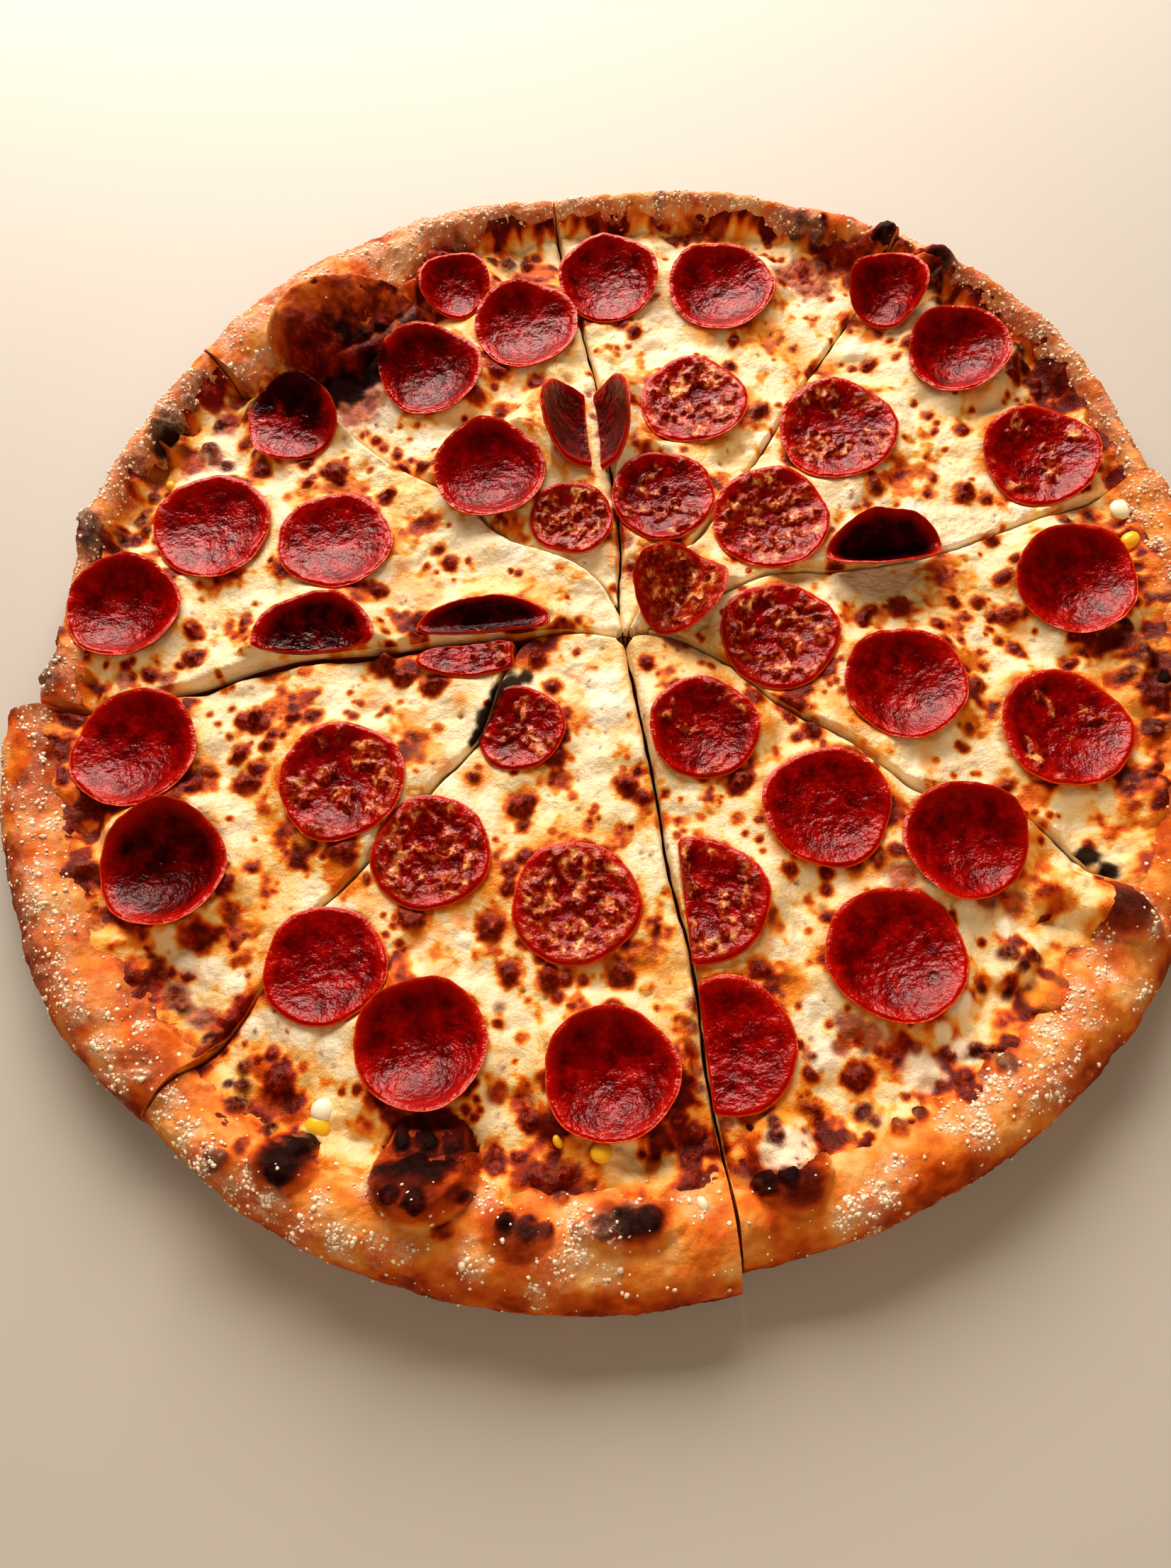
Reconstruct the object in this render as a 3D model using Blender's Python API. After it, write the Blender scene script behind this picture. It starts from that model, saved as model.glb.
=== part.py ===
"""Pepperoni pizza cut in eight slices, 16 inch, built in metres with +Z up.

The eight slices keep the whole's shape, so they are one thing.  Each slice is a
crust (a flat base that rises to a puffed rim), a cheese layer on it, and its
slices of pepperoni.  All sizes below are millimetres and degrees, measured from
the point where the cuts cross; a bearing of 0 is +X and 90 is +Y.
"""
import math

import bmesh
import bpy
import numpy as np

MM = 0.001
SHARP_FROM = 50.0

# Where the cuts cross, from the middle of the pizza's bounding box.
JUNCTION = (2.7, 2.6)

# Heights above the face the pizza rests on.
BASE_TOP = 5.2
LAYER_GAP = 0.35
CHEESE_TOP = 9.4
CHEESE_LEAST = 1.0
PEPPERONI_THICK = 1.8
SEAT_GAP = 0.95

# The bearing of each cut at these distances from the crossing.
CUT_AT = (10, 30, 50, 80, 110, 140, 170, 206)
CUTS = {
    "A": (93, 87, 87, 89, 90, 91.5, 92.5, 93),
    "B": (57, 53, 51.5, 51.5, 52.5, 53, 53, 52.5),
    "C": (15, 20, 22, 14, 11.5, 12.5, 13, 13),
    "D": (4, -18, -29.5, -33.5, -37, -33.5, -36.5, -35.5),
    "E": (-85, -85, -85, -86, -85, -86, -86, -86.5),
    "F": (160, 172.5, 206, 216.5, 219.5, 220.5, 223.5, 224),
    "G": (160, 172.5, 175, 178, 178.5, 182, 183, 183),
    "H": (93, 110, 128, 130, 133.5, 134, 137.5, 137),
}
CUT_GAP = {"A": 1.8, "B": 1.4, "C": 1.4, "D": 1.8, "E": 2.2, "F": 1.8, "G": 3.2, "H": 1.8}

# Each slice runs anticlockwise from its first cut to its second.  The outline,
# the rim's width and the rim's height are given at five places along the rim.
SLICES = {
    1: dict(cuts=("B", "A"), turn=(0, 0), tip=6,
            outer=(201, 202, 201, 199, 197), width=(17, 15, 13, 13, 13),
            height=(23, 21, 21, 21, 21)),
    2: dict(cuts=("C", "B"), turn=(0, 0), tip=6,
            outer=(191, 196, 200, 202, 203), width=(13, 13, 13, 15, 15),
            height=(19, 20, 21, 22, 22)),
    3: dict(cuts=("D", "C"), turn=(0, 0), tip=10,
            outer=(193, 196, 198, 197, 194), width=(27, 31, 31, 29, 24),
            height=(18, 20, 21, 20, 19)),
    4: dict(cuts=("E", "D"), turn=(0, 0), tip=6,
            outer=(196, 195, 194, 193, 191), width=(30, 29, 29, 32, 34),
            height=(20, 21, 21, 21, 20)),
    5: dict(cuts=("F", "E"), turn=(-360, 0), tip=6,
            outer=(206, 208, 207, 205, 201), width=(24, 28, 38, 42, 38),
            height=(20, 22, 22, 21, 20)),
    6: dict(cuts=("G", "F"), turn=(0, 0), tip=40,
            outer=(203, 206, 208, 210, 207), width=(24, 27, 30, 33, 32),
            height=(19, 20, 21, 22, 21)),
    7: dict(cuts=("H", "G"), turn=(0, 0), tip=6,
            outer=(199, 196, 194, 189, 191), width=(20, 15, 14, 13, 15),
            height=(20, 20, 20, 18, 17)),
    8: dict(cuts=("A", "H"), turn=(0, 0), tip=17,
            outer=(197, 202, 204, 205, 200), width=(14, 20, 42, 46, 32),
            height=(21, 22, 23, 23, 22)),
}

# Out to here the rows of every slice lie at the same distances from the crossing.
SHARED_ROWS = 140.0
ROW_STEP = 8.75
FLOOR_ROWS = ((35.0, 2), (52.5, 3), (78.75, 3), (105.0, 4), (122.5, 5), (140.0, 6), (157.5, 8),
              (173.0, 10))

# Points along the rim of a slice that needs more than 22.
RIM_POINTS = {8: 24}

# The rim's section: how far across its width, and how far up its height.
RIM_SECTION = ((0.0, 0.0), (0.10, 0.14), (0.24, 0.52), (0.42, 0.86), (0.60, 1.0), (0.78, 0.95),
               (0.92, 0.76), (1.0, 0.46), (0.985, 0.2))

# Bubbles and folds of the crust: distance, bearing, length along the rim,
# width across it, height, turn of the long side from the rim's direction.
LUMPS = (
    (166, 122.5, 32, 15, 13, -18),
    (177, 247, 15, 16, 11, 0),
    (172, 279.5, 11, 14, 8, 0),
    (163, 320, 9, 22, 10, 0),
    (156, 310, 9, 8, 5, 0),
    (167, 349, 16, 11, 7, 0),
    (169, 334, 10, 8, 4, 0),
    (189, 52.5, 14, 8, 7, 0),
    (192, 47.5, 9, 8, 5, 0),
    (183, 148.5, 8, 7, 4, 0),
    (187, 163, 9, 7, 4, 0),
    (189, 181, 9, 8, 4, 0),
    (190, 236, 10, 9, 5, 0),
    (201, 231, 9, 7, 3, 0),
    (182, 265, 15, 7, 4, 0),
    (187, 256, 10, 7, 3, 0),
    (152, 130, 20, 7, -6, 0),
)


def pepperoni(tag, x, y, size, cup=6.0, **more):
    """One slice of pepperoni: its place, radius and how far its edge curls up."""
    item = dict(tag=tag, x=x, y=y, size=size, cup=cup, saddle=0.15, along=30.0, tilt=3.0,
                up=90.0, lift=0.0, fold=0.0, squash=1.0, chops=())
    item.update(more)
    return item


PEPPERONI = (
    pepperoni("1a", 9, 157, 19, 7, up=80, tilt=12, saddle=0.3, along=90),
    pepperoni("1b", 51, 147, 20, 7, up=90, tilt=6),
    pepperoni("1c", 35, 95, 19.5, 4, up=0, tilt=2, saddle=0.3),
    pepperoni("1d", 19, 54, 18, 4, up=100, tilt=4),
    pepperoni("1e", 3.5, 84, 18, 4, up=0, tilt=50, lift=6.5, along=90, saddle=0.6,
              chops=((5, 180),)),
    pepperoni("2a", 114, 135, 14.5, 7, up=40, tilt=28, lift=5.5, saddle=0.5, along=60),
    pepperoni("2b", 133, 104, 18, 8, up=40, tilt=12, lift=2),
    pepperoni("2c", 152, 57, 20, 5, up=60, tilt=7, saddle=0.35, along=60),
    pepperoni("2d", 84, 76, 21, 5, up=60, tilt=5),
    pepperoni("2e", 55, 40, 20, 5, up=70, tilt=5, saddle=0.3),
    pepperoni("2f", 90, 23, 19.5, 5, up=90, tilt=5, lift=1.5, saddle=0.3, along=0, fold=30,
              squash=0.52),
    pepperoni("2g", 21, 13, 15.5, 3, up=50, tilt=10, lift=1.5, fold=13, along=55),
    pepperoni("3a", 51, -5, 19.5, 4, up=80, tilt=4, saddle=0.3, along=70),
    pepperoni("3b", 150, 4, 19.5, 8, up=70, tilt=9, lift=0.5),
    pepperoni("3c", 88, -28, 19.5, 6, up=60, tilt=3),
    pepperoni("3d", 134, -49, 20.5, 5, up=200, tilt=3),
    pepperoni("4a", 21.5, -37, 17.5, 5, up=120, tilt=6, saddle=0.3, along=90),
    pepperoni("4b", 56, -68, 19.5, 5, up=60, tilt=3, saddle=0.25, along=120),
    pepperoni("4c", 95, -83, 18.5, 7, up=60, tilt=5, saddle=0.4, along=140),
    pepperoni("4d", 68, -116, 20.5, 6, up=250, tilt=3),
    pepperoni("4e", 14.5, -94, 20, 4, up=0, tilt=3, saddle=0.3, along=90, chops=((5, 180),)),
    pepperoni("4f", 16.5, -137, 20, 3, up=0, tilt=4, chops=((6, 180),)),
    pepperoni("5a", -98, -104, 18.3, 4, up=230, tilt=3, saddle=0.3, along=50),
    pepperoni("5b", -66, -71, 18.5, 3, up=90, tilt=2, saddle=0.2),
    pepperoni("5c", -70, -130, 19, 8, up=210, tilt=3, lift=0.4, saddle=0.3, along=20),
    pepperoni("5d", -17, -143, 19, 8, up=270, tilt=2),
    pepperoni("5e", -23, -91, 19.5, 3, up=0, tilt=1),
    pepperoni("5f", -36, -31, 14.5, 3, up=45, tilt=6, saddle=0.3, chops=((11, 150),)),
    pepperoni("6a", -159, -28, 20.5, 7, up=20, tilt=3, saddle=0.2, along=0),
    pepperoni("6b", -93, -45, 20, 5, up=60, tilt=3),
    pepperoni("6c", -147, -68, 19.5, 9, up=85, tilt=8, lift=0.5, saddle=0.4, along=10),
    pepperoni("6d", -50.5, -3.5, 19, 3, up=270, tilt=4, along=0, squash=0.36,
              chops=((5.5, 92), (13.5, 0))),
    pepperoni("7a", -139, 57, 20.5, 5, up=100, tilt=4),
    pepperoni("7b", -96, 46, 19.8, 5, up=200, tilt=4, saddle=0.2),
    pepperoni("7c", -167, 26, 19, 8, up=120, tilt=6, lift=0.5),
    pepperoni("7d", -102.5, 7.8, 20.3, 9, up=90, tilt=5, lift=0.3, along=0, squash=0.82,
              chops=((3, 268),)),
    pepperoni("7e", -111, 101, 16.5, 5, up=75, tilt=20, lift=4, saddle=0.6, along=140),
    pepperoni("7f", -46, 9.3, 22.5, 3, up=90, tilt=6, lift=0.7, along=0, fold=24,
              squash=0.36, chops=((3.3, 268),)),
    pepperoni("8a", -50.5, 160, 13.5, 6, up=105, tilt=18, lift=3.2, saddle=0.4, along=100),
    pepperoni("8b", -61, 119, 19, 8, up=110, tilt=10, lift=1, saddle=0.3, along=60),
    pepperoni("8c", -24, 137, 19.5, 7, up=90, tilt=6),
    pepperoni("8d", -41, 69, 19.5, 8, up=110, tilt=7, lift=0.5),
    pepperoni("8e", -13.5, 47.5, 14.5, 4, up=90, tilt=5, saddle=0.3, chops=((12.5, 250),)),
    pepperoni("8f", -11, 86, 18, 4, up=180, tilt=38, lift=5, along=90, saddle=0.6,
              chops=((6, 0),)),
)


def curve(x, xs, ys):
    """A smooth line through named values, flat beyond both ends."""
    xs = np.asarray(xs, float)
    ys = np.asarray(ys, float)
    x = np.clip(np.asarray(x, float), xs[0], xs[-1])
    slope = np.gradient(ys, xs)
    i = np.clip(np.searchsorted(xs, x, side="right") - 1, 0, len(xs) - 2)
    span = xs[i + 1] - xs[i]
    t = (x - xs[i]) / span
    a = (1 + 2 * t) * (1 - t) ** 2
    b = t * (1 - t) ** 2
    c = t * t * (3 - 2 * t)
    d = t * t * (t - 1)
    return a * ys[i] + b * span * slope[i] + c * ys[i + 1] + d * span * slope[i + 1]


def polar(r, bearing):
    """Plan position of points given by distance and bearing."""
    b = np.radians(bearing)
    return r * np.cos(b), r * np.sin(b)


def across(spec, r, u):
    """Bearing of the place u (0 to 1) across a slice at distance r."""
    low, high = spec["cuts"]
    first = np.radians(curve(r, CUT_AT, CUTS[low]) + spec["turn"][0])
    last = np.radians(curve(r, CUT_AT, CUTS[high]) + spec["turn"][1])
    first = first + 0.5 * CUT_GAP[low] / r
    last = last - 0.5 * CUT_GAP[high] / r
    return np.degrees(first + (last - first) * u)


def rim_value(spec, key, u):
    return curve(u, (0, 0.25, 0.5, 0.75, 1), spec[key])


def rim_radius(spec, u, share):
    """Distance of a place at a share of the way across the rim."""
    return rim_value(spec, "outer", u) - rim_value(spec, "width", u) * (1 - share)


def lumps(x, y):
    """Height that bubbles and folds add to the crust."""
    total = np.zeros(np.shape(x))
    for r, b, along, deep, tall, turn in LUMPS:
        cx, cy = polar(r, b)
        a = math.radians(b + 90 + turn)
        p = (x - cx) * math.cos(a) + (y - cy) * math.sin(a)
        q = -(x - cx) * math.sin(a) + (y - cy) * math.cos(a)
        far = np.sqrt((p / along) ** 2 + (q / deep) ** 2)
        total = total + tall * np.clip(1.25 * (1 - far * far), 0, 1) ** 0.8
    return total


def ripple(x, y, size):
    """Slow unevenness, about one up or down over the given size."""
    k = math.pi / size
    wave = np.sin(k * x + 1.7 * np.sin(0.6 * k * y + 0.4)) * np.cos(0.9 * k * y + 0.8)
    return wave + 0.5 * np.sin(1.9 * k * (x - y) + 2.1) * np.cos(1.7 * k * (x + y))


def tilted(item, p, q):
    """Height and plan shift of a pepperoni's underside at its own p, q."""
    size = item["size"]
    ang = np.arctan2(q, p)
    rho2 = (p * p + q * q) / (size * size)
    side = np.cos(2 * (ang - math.radians(item["along"])))
    z = item["cup"] * rho2 * (1 - item["saddle"] * side)
    a = math.radians(item["along"] + 90)
    off = np.abs(p * math.cos(a) + q * math.sin(a)) / size
    return z + item["fold"] * off ** 1.4


def reach(item, ang):
    """Radius of a pepperoni in its own direction, with any straight cut."""
    size = item["size"]
    r = size * (1 + 0.02 * np.sin(3 * ang + item["x"]) + 0.015 * np.sin(5 * ang + item["y"]))
    if item["squash"] < 1:
        turned = ang - math.radians(item["along"])
        r = r / np.hypot(np.cos(turned), np.sin(turned) / item["squash"])
    for distance, bearing in item["chops"]:
        facing = np.cos(ang - math.radians(bearing))
        r = np.where(facing > 0.05, np.minimum(r, distance / np.maximum(facing, 0.05)), r)
    return r


def seat_level(item):
    """Height of the middle of a pepperoni's underside."""
    return CHEESE_TOP - 0.7 + 0.8 * ripple(item["x"], item["y"], 38) + item["lift"]


def place(item, p, q, extra):
    """From a pepperoni's own frame to the pizza's."""
    t = math.radians(item["tilt"])
    a = math.radians(item["up"])
    z = tilted(item, p, q) + extra
    f = p * math.cos(a) + q * math.sin(a)
    g = -p * math.sin(a) + q * math.cos(a)
    f2 = f * math.cos(t) - z * math.sin(t)
    z2 = f * math.sin(t) + z * math.cos(t)
    x = f2 * math.cos(a) - g * math.sin(a) + item["x"]
    y = f2 * math.sin(a) + g * math.cos(a) + item["y"]
    return np.stack([x, y, z2 + seat_level(item)], axis=-1)


def seated(x, y, z, ease):
    """Lower a surface so that every pepperoni clears it."""
    for item in PEPPERONI:
        dx = x - item["x"]
        dy = y - item["y"]
        near = np.hypot(dx, dy) < item["size"] + 14
        if not np.any(near):
            continue
        t = math.radians(item["tilt"])
        a = math.radians(item["up"])
        f2 = dx * math.cos(a) + dy * math.sin(a)
        g = -dx * math.sin(a) + dy * math.cos(a)
        f = f2 / math.cos(t)
        for step in range(5):
            p = f * math.cos(a) - g * math.sin(a)
            q = f * math.sin(a) + g * math.cos(a)
            ang = np.arctan2(q, p)
            far = np.hypot(p, q)
            limit = reach(item, ang)
            inside = np.minimum(far, limit)
            h = tilted(item, inside * np.cos(ang), inside * np.sin(ang))
            f = (f2 + h * math.sin(t)) / math.cos(t)
        beyond = np.maximum(far - limit, 0)
        pin = inside * np.cos(ang)
        qin = inside * np.sin(ang)
        fin = pin * math.cos(a) + qin * math.sin(a)
        under = fin * math.sin(t) + h * math.cos(t) + seat_level(item)
        under = under - SEAT_GAP / math.cos(t) + ease * beyond
        z = np.where(near & (beyond < 9), np.minimum(z, under), z)
    return z


def cheese_height(spec, r, bearing, u):
    """Top of the cheese, which droops a little where it was cut."""
    x, y = polar(r, bearing)
    z = CHEESE_TOP + 0.8 * ripple(x, y, 38) + 0.5 * ripple(x + 40, y, 17)
    low, high = spec["cuts"]
    arc = np.radians(across(spec, r, 1.0) - across(spec, r, 0.0)) * r
    edge = np.minimum(u, 1 - u) * arc
    return z - 1.6 * np.exp(-edge / 2.5)


def zipper(first, second, ta, tb, faces, late):
    """Triangles between two runs of points that go the same way."""
    i = 0
    j = 0
    while i < len(first) - 1 or j < len(second) - 1:
        step_a = ta[i + 1] if i < len(first) - 1 else math.inf
        step_b = tb[j + 1] if j < len(second) - 1 else math.inf
        ahead = step_a < step_b if late else step_a <= step_b
        if j == len(second) - 1 or (i < len(first) - 1 and ahead):
            tri = (first[i], second[j], first[i + 1])
            i += 1
        else:
            tri = (first[i], second[j], second[j + 1])
            j += 1
        faces.append(tri)


def steps(n):
    return np.linspace(0, 1, n)


def loop_solid(name, rows, tops, material):
    """A closed solid from rows of points: over the top, then back underneath."""
    points = []
    index = []
    for row in rows:
        index.append(list(range(len(points), len(points) + len(row))))
        points.extend(row)
    faces = []
    count = len(rows)
    for k in range(count):
        one = index[k]
        two = index[(k + 1) % count]
        zipper(one, two, steps(len(one)), steps(len(two)), faces, k >= tops - 1)
    for end in (0, -1):
        upper = [index[k][end] for k in range(tops)]
        lower = [index[k][end] for k in range(count - 1, tops - 1, -1)]
        ta = [math.hypot(points[i][0], points[i][1]) for i in upper]
        tb = [math.hypot(points[i][0], points[i][1]) for i in lower]
        ta = np.maximum.accumulate(np.asarray(ta))
        tb = np.maximum.accumulate(np.asarray(tb))
        zipper(upper, lower, ta, tb, faces, False)
    return add_object(name, points, faces, material)


def add_object(name, points, faces, material):
    mesh = bpy.data.meshes.new(name)
    shift = np.array([JUNCTION[0], JUNCTION[1], 0.0])
    data = (np.asarray(points) + shift) * MM
    mesh.from_pydata([tuple(p) for p in data], [], [tuple(f) for f in faces])
    bm = bmesh.new()
    bm.from_mesh(mesh)
    bmesh.ops.recalc_face_normals(bm, faces=bm.faces)
    if bm.calc_volume(signed=True) < 0:
        bmesh.ops.reverse_faces(bm, faces=bm.faces)
    bm.to_mesh(mesh)
    bm.free()
    mesh.shade_smooth()
    mesh.set_sharp_from_angle(angle=math.radians(SHARP_FROM))
    mesh.materials.append(material)
    obj = bpy.data.objects.new(name, mesh)
    bpy.context.scene.collection.objects.link(obj)
    return obj


def paint(name, colour, rough):
    mat = bpy.data.materials.new(name)
    mat.use_nodes = True
    shader = mat.node_tree.nodes["Principled BSDF"]
    shader.inputs["Base Color"].default_value = (*colour, 1.0)
    shader.inputs["Roughness"].default_value = rough
    return mat


def crust_top(spec, u, across_rim):
    """Position on the rim's upper side at a fraction across its width."""
    tall = rim_value(spec, "height", u)
    section = np.asarray(RIM_SECTION)
    share = float(np.interp(across_rim, section[:8, 0], section[:8, 1]))
    r = rim_radius(spec, u, across_rim)
    b = across(spec, r, u)
    x, y = polar(r, b)
    z = BASE_TOP + (tall - BASE_TOP) * share
    swell = min(share * 4, 1.0)
    edge = across_rim >= 0.95
    z = z + swell * lumps(x, y) * (0.5 if edge else 1.0)
    z = z + swell * ripple(x, y, 21) * (0.4 if edge else 1.0)
    return x, y, np.maximum(z, BASE_TOP)


def floor_rows(spec, tip, last, z):
    """Flat rows from the tip out to a distance, the same for both layers."""
    rows = []
    for r, n in ((tip, 2),) + FLOOR_ROWS:
        if r == tip or tip + 5 < r < last:
            x, y = polar(r, across(spec, r, steps(n)))
            rows.append(np.stack([x, y, np.full(n, z)], 1))
    return rows


def crust(number, spec, material):
    """The crust of one slice: base and rim."""
    tip = spec["tip"]
    u = steps(RIM_POINTS.get(number, 22))
    least = float(rim_radius(spec, u, 0.0).min()) - 4
    rows = floor_rows(spec, tip, least, BASE_TOP)
    for share, up in RIM_SECTION[:-1]:
        x, y, z = crust_top(spec, u, share)
        low = np.full(len(u), BASE_TOP) if share < 0.05 else z
        low = seated(x, y, low, 0.3)
        rows.append(np.stack([x, y, np.maximum(low, BASE_TOP)], 1))
    share, up = RIM_SECTION[-1]
    r = rim_radius(spec, u, share)
    x, y = polar(r, across(spec, r, u))
    rows.append(np.stack([x, y, 4.0 + 0.5 * ripple(x, y, 21)], 1))
    tops = len(rows)
    for n, share in ((14, 1.0), (11, 0.5), (11, 0.02)):
        u = steps(n)
        r = rim_radius(spec, u, share) - 5.0 * share
        x, y = polar(r, across(spec, r, u))
        if share != 0.5 or max(spec["width"]) > 28:
            rows.append(np.stack([x, y, np.zeros(n)], 1))
    rows += floor_rows(spec, tip, least, 0.0)[::-1]
    return loop_solid("slice%d_crust" % number, rows, tops, material)


def cheese(number, spec, material):
    """The cheese on one slice, with a shallow seat under each pepperoni."""
    tip = spec["tip"] + 1.0
    rows = []
    middle = float(rim_radius(spec, 0.5, 0.0))
    edge_n = RIM_POINTS.get(number, 22)
    levels = [tip]
    k = 1
    while k * ROW_STEP <= SHARED_ROWS:
        if k * ROW_STEP > tip + 3:
            levels.append(k * ROW_STEP)
        k += 1
    more = int(round((middle - SHARED_ROWS) / ROW_STEP))
    levels += [SHARED_ROWS + k / more for k in range(1, more)]
    for level in levels:
        share = max(level - SHARED_ROWS, 0)
        r_mid = level if share == 0 else SHARED_ROWS + (middle - SHARED_ROWS) * share
        wide = math.radians(float(across(spec, r_mid, 1.0) - across(spec, r_mid, 0.0))) * r_mid
        n = max(2, int(round(wide / 8.8)) + 1)
        u = steps(n)
        if n > 4:
            inset = 3.2 / wide
            u = np.concatenate([[0], inset + (1 - 2 * inset) * steps(n - 2), [1]])
        r = np.full(n, level)
        if share > 0:
            r = SHARED_ROWS + (rim_radius(spec, u, 0.0) - SHARED_ROWS) * share
        b = across(spec, r, u)
        x, y = polar(r, b)
        z = seated(x, y, cheese_height(spec, r, b, u), 0.25)
        z = np.maximum(z, BASE_TOP + LAYER_GAP + CHEESE_LEAST)
        rows.append(np.stack([x, y, z], 1))
    u = steps(edge_n)
    r = rim_radius(spec, u, 0.0)
    b = across(spec, r, u)
    x, y = polar(r, b)
    z = seated(x, y, cheese_height(spec, r, b, u) - 0.6, 0.25)
    rows.append(np.stack([x, y, np.maximum(z, BASE_TOP + LAYER_GAP + CHEESE_LEAST)], 1))
    x, y, z = crust_top(spec, u, RIM_SECTION[1][0])
    z = np.maximum(seated(x, y, z, 0.3), BASE_TOP)
    rows.append(np.stack([x, y, z + LAYER_GAP + 1.1], 1))
    tops = len(rows)
    rows.append(np.stack([x, y, z + LAYER_GAP], 1))
    least = float(r.min()) - 4
    x, y = polar(r, b)
    rows.append(np.stack([x, y, np.full(edge_n, BASE_TOP + LAYER_GAP)], 1))
    rows += floor_rows(spec, tip, least, BASE_TOP + LAYER_GAP)[::-1]
    return loop_solid("slice%d_cheese" % number, rows, tops, material)


def pepperoni_disc(item, material):
    """A thin cupped disc, or a piece of one where a cut runs through it."""
    around = 13 if item["size"] > 16 else 12
    ang = np.linspace(0, 2 * math.pi, around, endpoint=False)
    corners = []
    for distance, bearing in item["chops"]:
        half = math.acos(min(1.0, distance / item["size"]))
        corners += [math.radians(bearing) - half, math.radians(bearing) + half]
    for corner in corners:
        corner = corner % (2 * math.pi)
        gap = np.abs((ang - corner + math.pi) % (2 * math.pi) - math.pi)
        ang[int(np.argmin(gap))] = corner
    ang = np.sort(ang)
    edge = reach(item, ang)
    thick = PEPPERONI_THICK
    points = []
    rings = []
    for share, extra in ((0.62, thick), (0.965, thick), (1.0, 0.35 * thick), (0.6, 0.0)):
        r = edge * share
        ring = place(item, r * np.cos(ang), r * np.sin(ang), extra)
        rings.append(list(range(len(points), len(points) + around)))
        points.extend(ring)
    top = len(points)
    points.append(place(item, np.zeros(()), np.zeros(()), thick))
    bottom = len(points)
    points.append(place(item, np.zeros(()), np.zeros(()), 0.0))
    faces = []
    for k in range(around):
        m = (k + 1) % around
        faces.append((top, rings[0][k], rings[0][m]))
        faces.append((bottom, rings[3][m], rings[3][k]))
        for a, b in ((0, 1), (1, 2), (2, 3)):
            faces.append((rings[a][k], rings[b][k], rings[b][m]))
            faces.append((rings[a][k], rings[b][m], rings[a][m]))
    return add_object("slice%s_pepperoni_%s" % (item["tag"][0], item["tag"][1]), points, faces,
                      material)


def build():
    for obj in list(bpy.data.objects):
        bpy.data.objects.remove(obj, do_unlink=True)
    dough = paint("baked_dough", (0.60, 0.34, 0.14), 0.75)
    melt = paint("melted_cheese", (0.86, 0.66, 0.36), 0.45)
    meat = paint("pepperoni", (0.33, 0.035, 0.02), 0.35)
    for number, spec in SLICES.items():
        crust(number, spec, dough)
        cheese(number, spec, melt)
    for item in PEPPERONI:
        pepperoni_disc(item, meat)


build()
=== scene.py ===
"""Looks of the pepperoni pizza: fine crust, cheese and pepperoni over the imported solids.

Sizes are millimetres and degrees from the point where the cuts cross; meshes are
written in metres.  A bearing of 0 is +X and 90 is +Y.
"""

import math

import bmesh
import bpy
import numpy as np
from mathutils import Matrix, Vector


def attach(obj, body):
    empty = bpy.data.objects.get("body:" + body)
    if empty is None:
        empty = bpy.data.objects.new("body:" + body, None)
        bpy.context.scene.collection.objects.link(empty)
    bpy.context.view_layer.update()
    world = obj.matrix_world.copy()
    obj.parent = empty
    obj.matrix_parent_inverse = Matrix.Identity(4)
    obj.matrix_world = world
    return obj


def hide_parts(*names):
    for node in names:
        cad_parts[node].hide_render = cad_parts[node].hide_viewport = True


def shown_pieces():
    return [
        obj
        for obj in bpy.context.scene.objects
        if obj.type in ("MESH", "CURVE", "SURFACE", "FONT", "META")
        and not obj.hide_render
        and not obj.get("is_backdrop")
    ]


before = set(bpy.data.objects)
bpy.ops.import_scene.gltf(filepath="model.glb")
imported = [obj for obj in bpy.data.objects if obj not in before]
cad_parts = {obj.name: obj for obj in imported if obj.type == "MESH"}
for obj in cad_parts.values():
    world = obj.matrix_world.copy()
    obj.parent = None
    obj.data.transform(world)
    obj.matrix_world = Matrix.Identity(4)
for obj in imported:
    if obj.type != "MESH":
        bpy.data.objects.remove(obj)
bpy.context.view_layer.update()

JUNCTION = (2.7, 2.6)
BASE_TOP = 5.2
CHEESE_TOP = 9.4
PEPPERONI_THICK = 1.8

CUT_AT = (10, 30, 50, 80, 110, 140, 170, 206)
CUTS = {
    "A": (93, 87, 87, 89, 90, 91.5, 92.5, 93),
    "B": (57, 53, 51.5, 51.5, 52.5, 53, 53, 52.5),
    "C": (15, 20, 22, 14, 11.5, 12.5, 13, 13),
    "D": (4, -18, -29.5, -33.5, -37, -33.5, -36.5, -35.5),
    "E": (-85, -85, -85, -86, -85, -86, -86, -86.5),
    "F": (160, 172.5, 206, 216.5, 219.5, 220.5, 223.5, 224),
    "G": (160, 172.5, 175, 178, 178.5, 182, 183, 183),
    "H": (93, 110, 128, 130, 133.5, 134, 137.5, 137),
}
CUT_GAP = {"A": 0.6, "B": 0.45, "C": 0.4, "D": 0.7, "E": 0.9, "F": 0.7, "G": 2.0, "H": 0.5}

# How far from a cut its cheese droops.
DROOP = {"A": 1.5, "B": 1.3, "C": 1.2, "D": 1.7, "E": 2.2, "F": 1.9, "G": 3.0, "H": 1.4}

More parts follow.
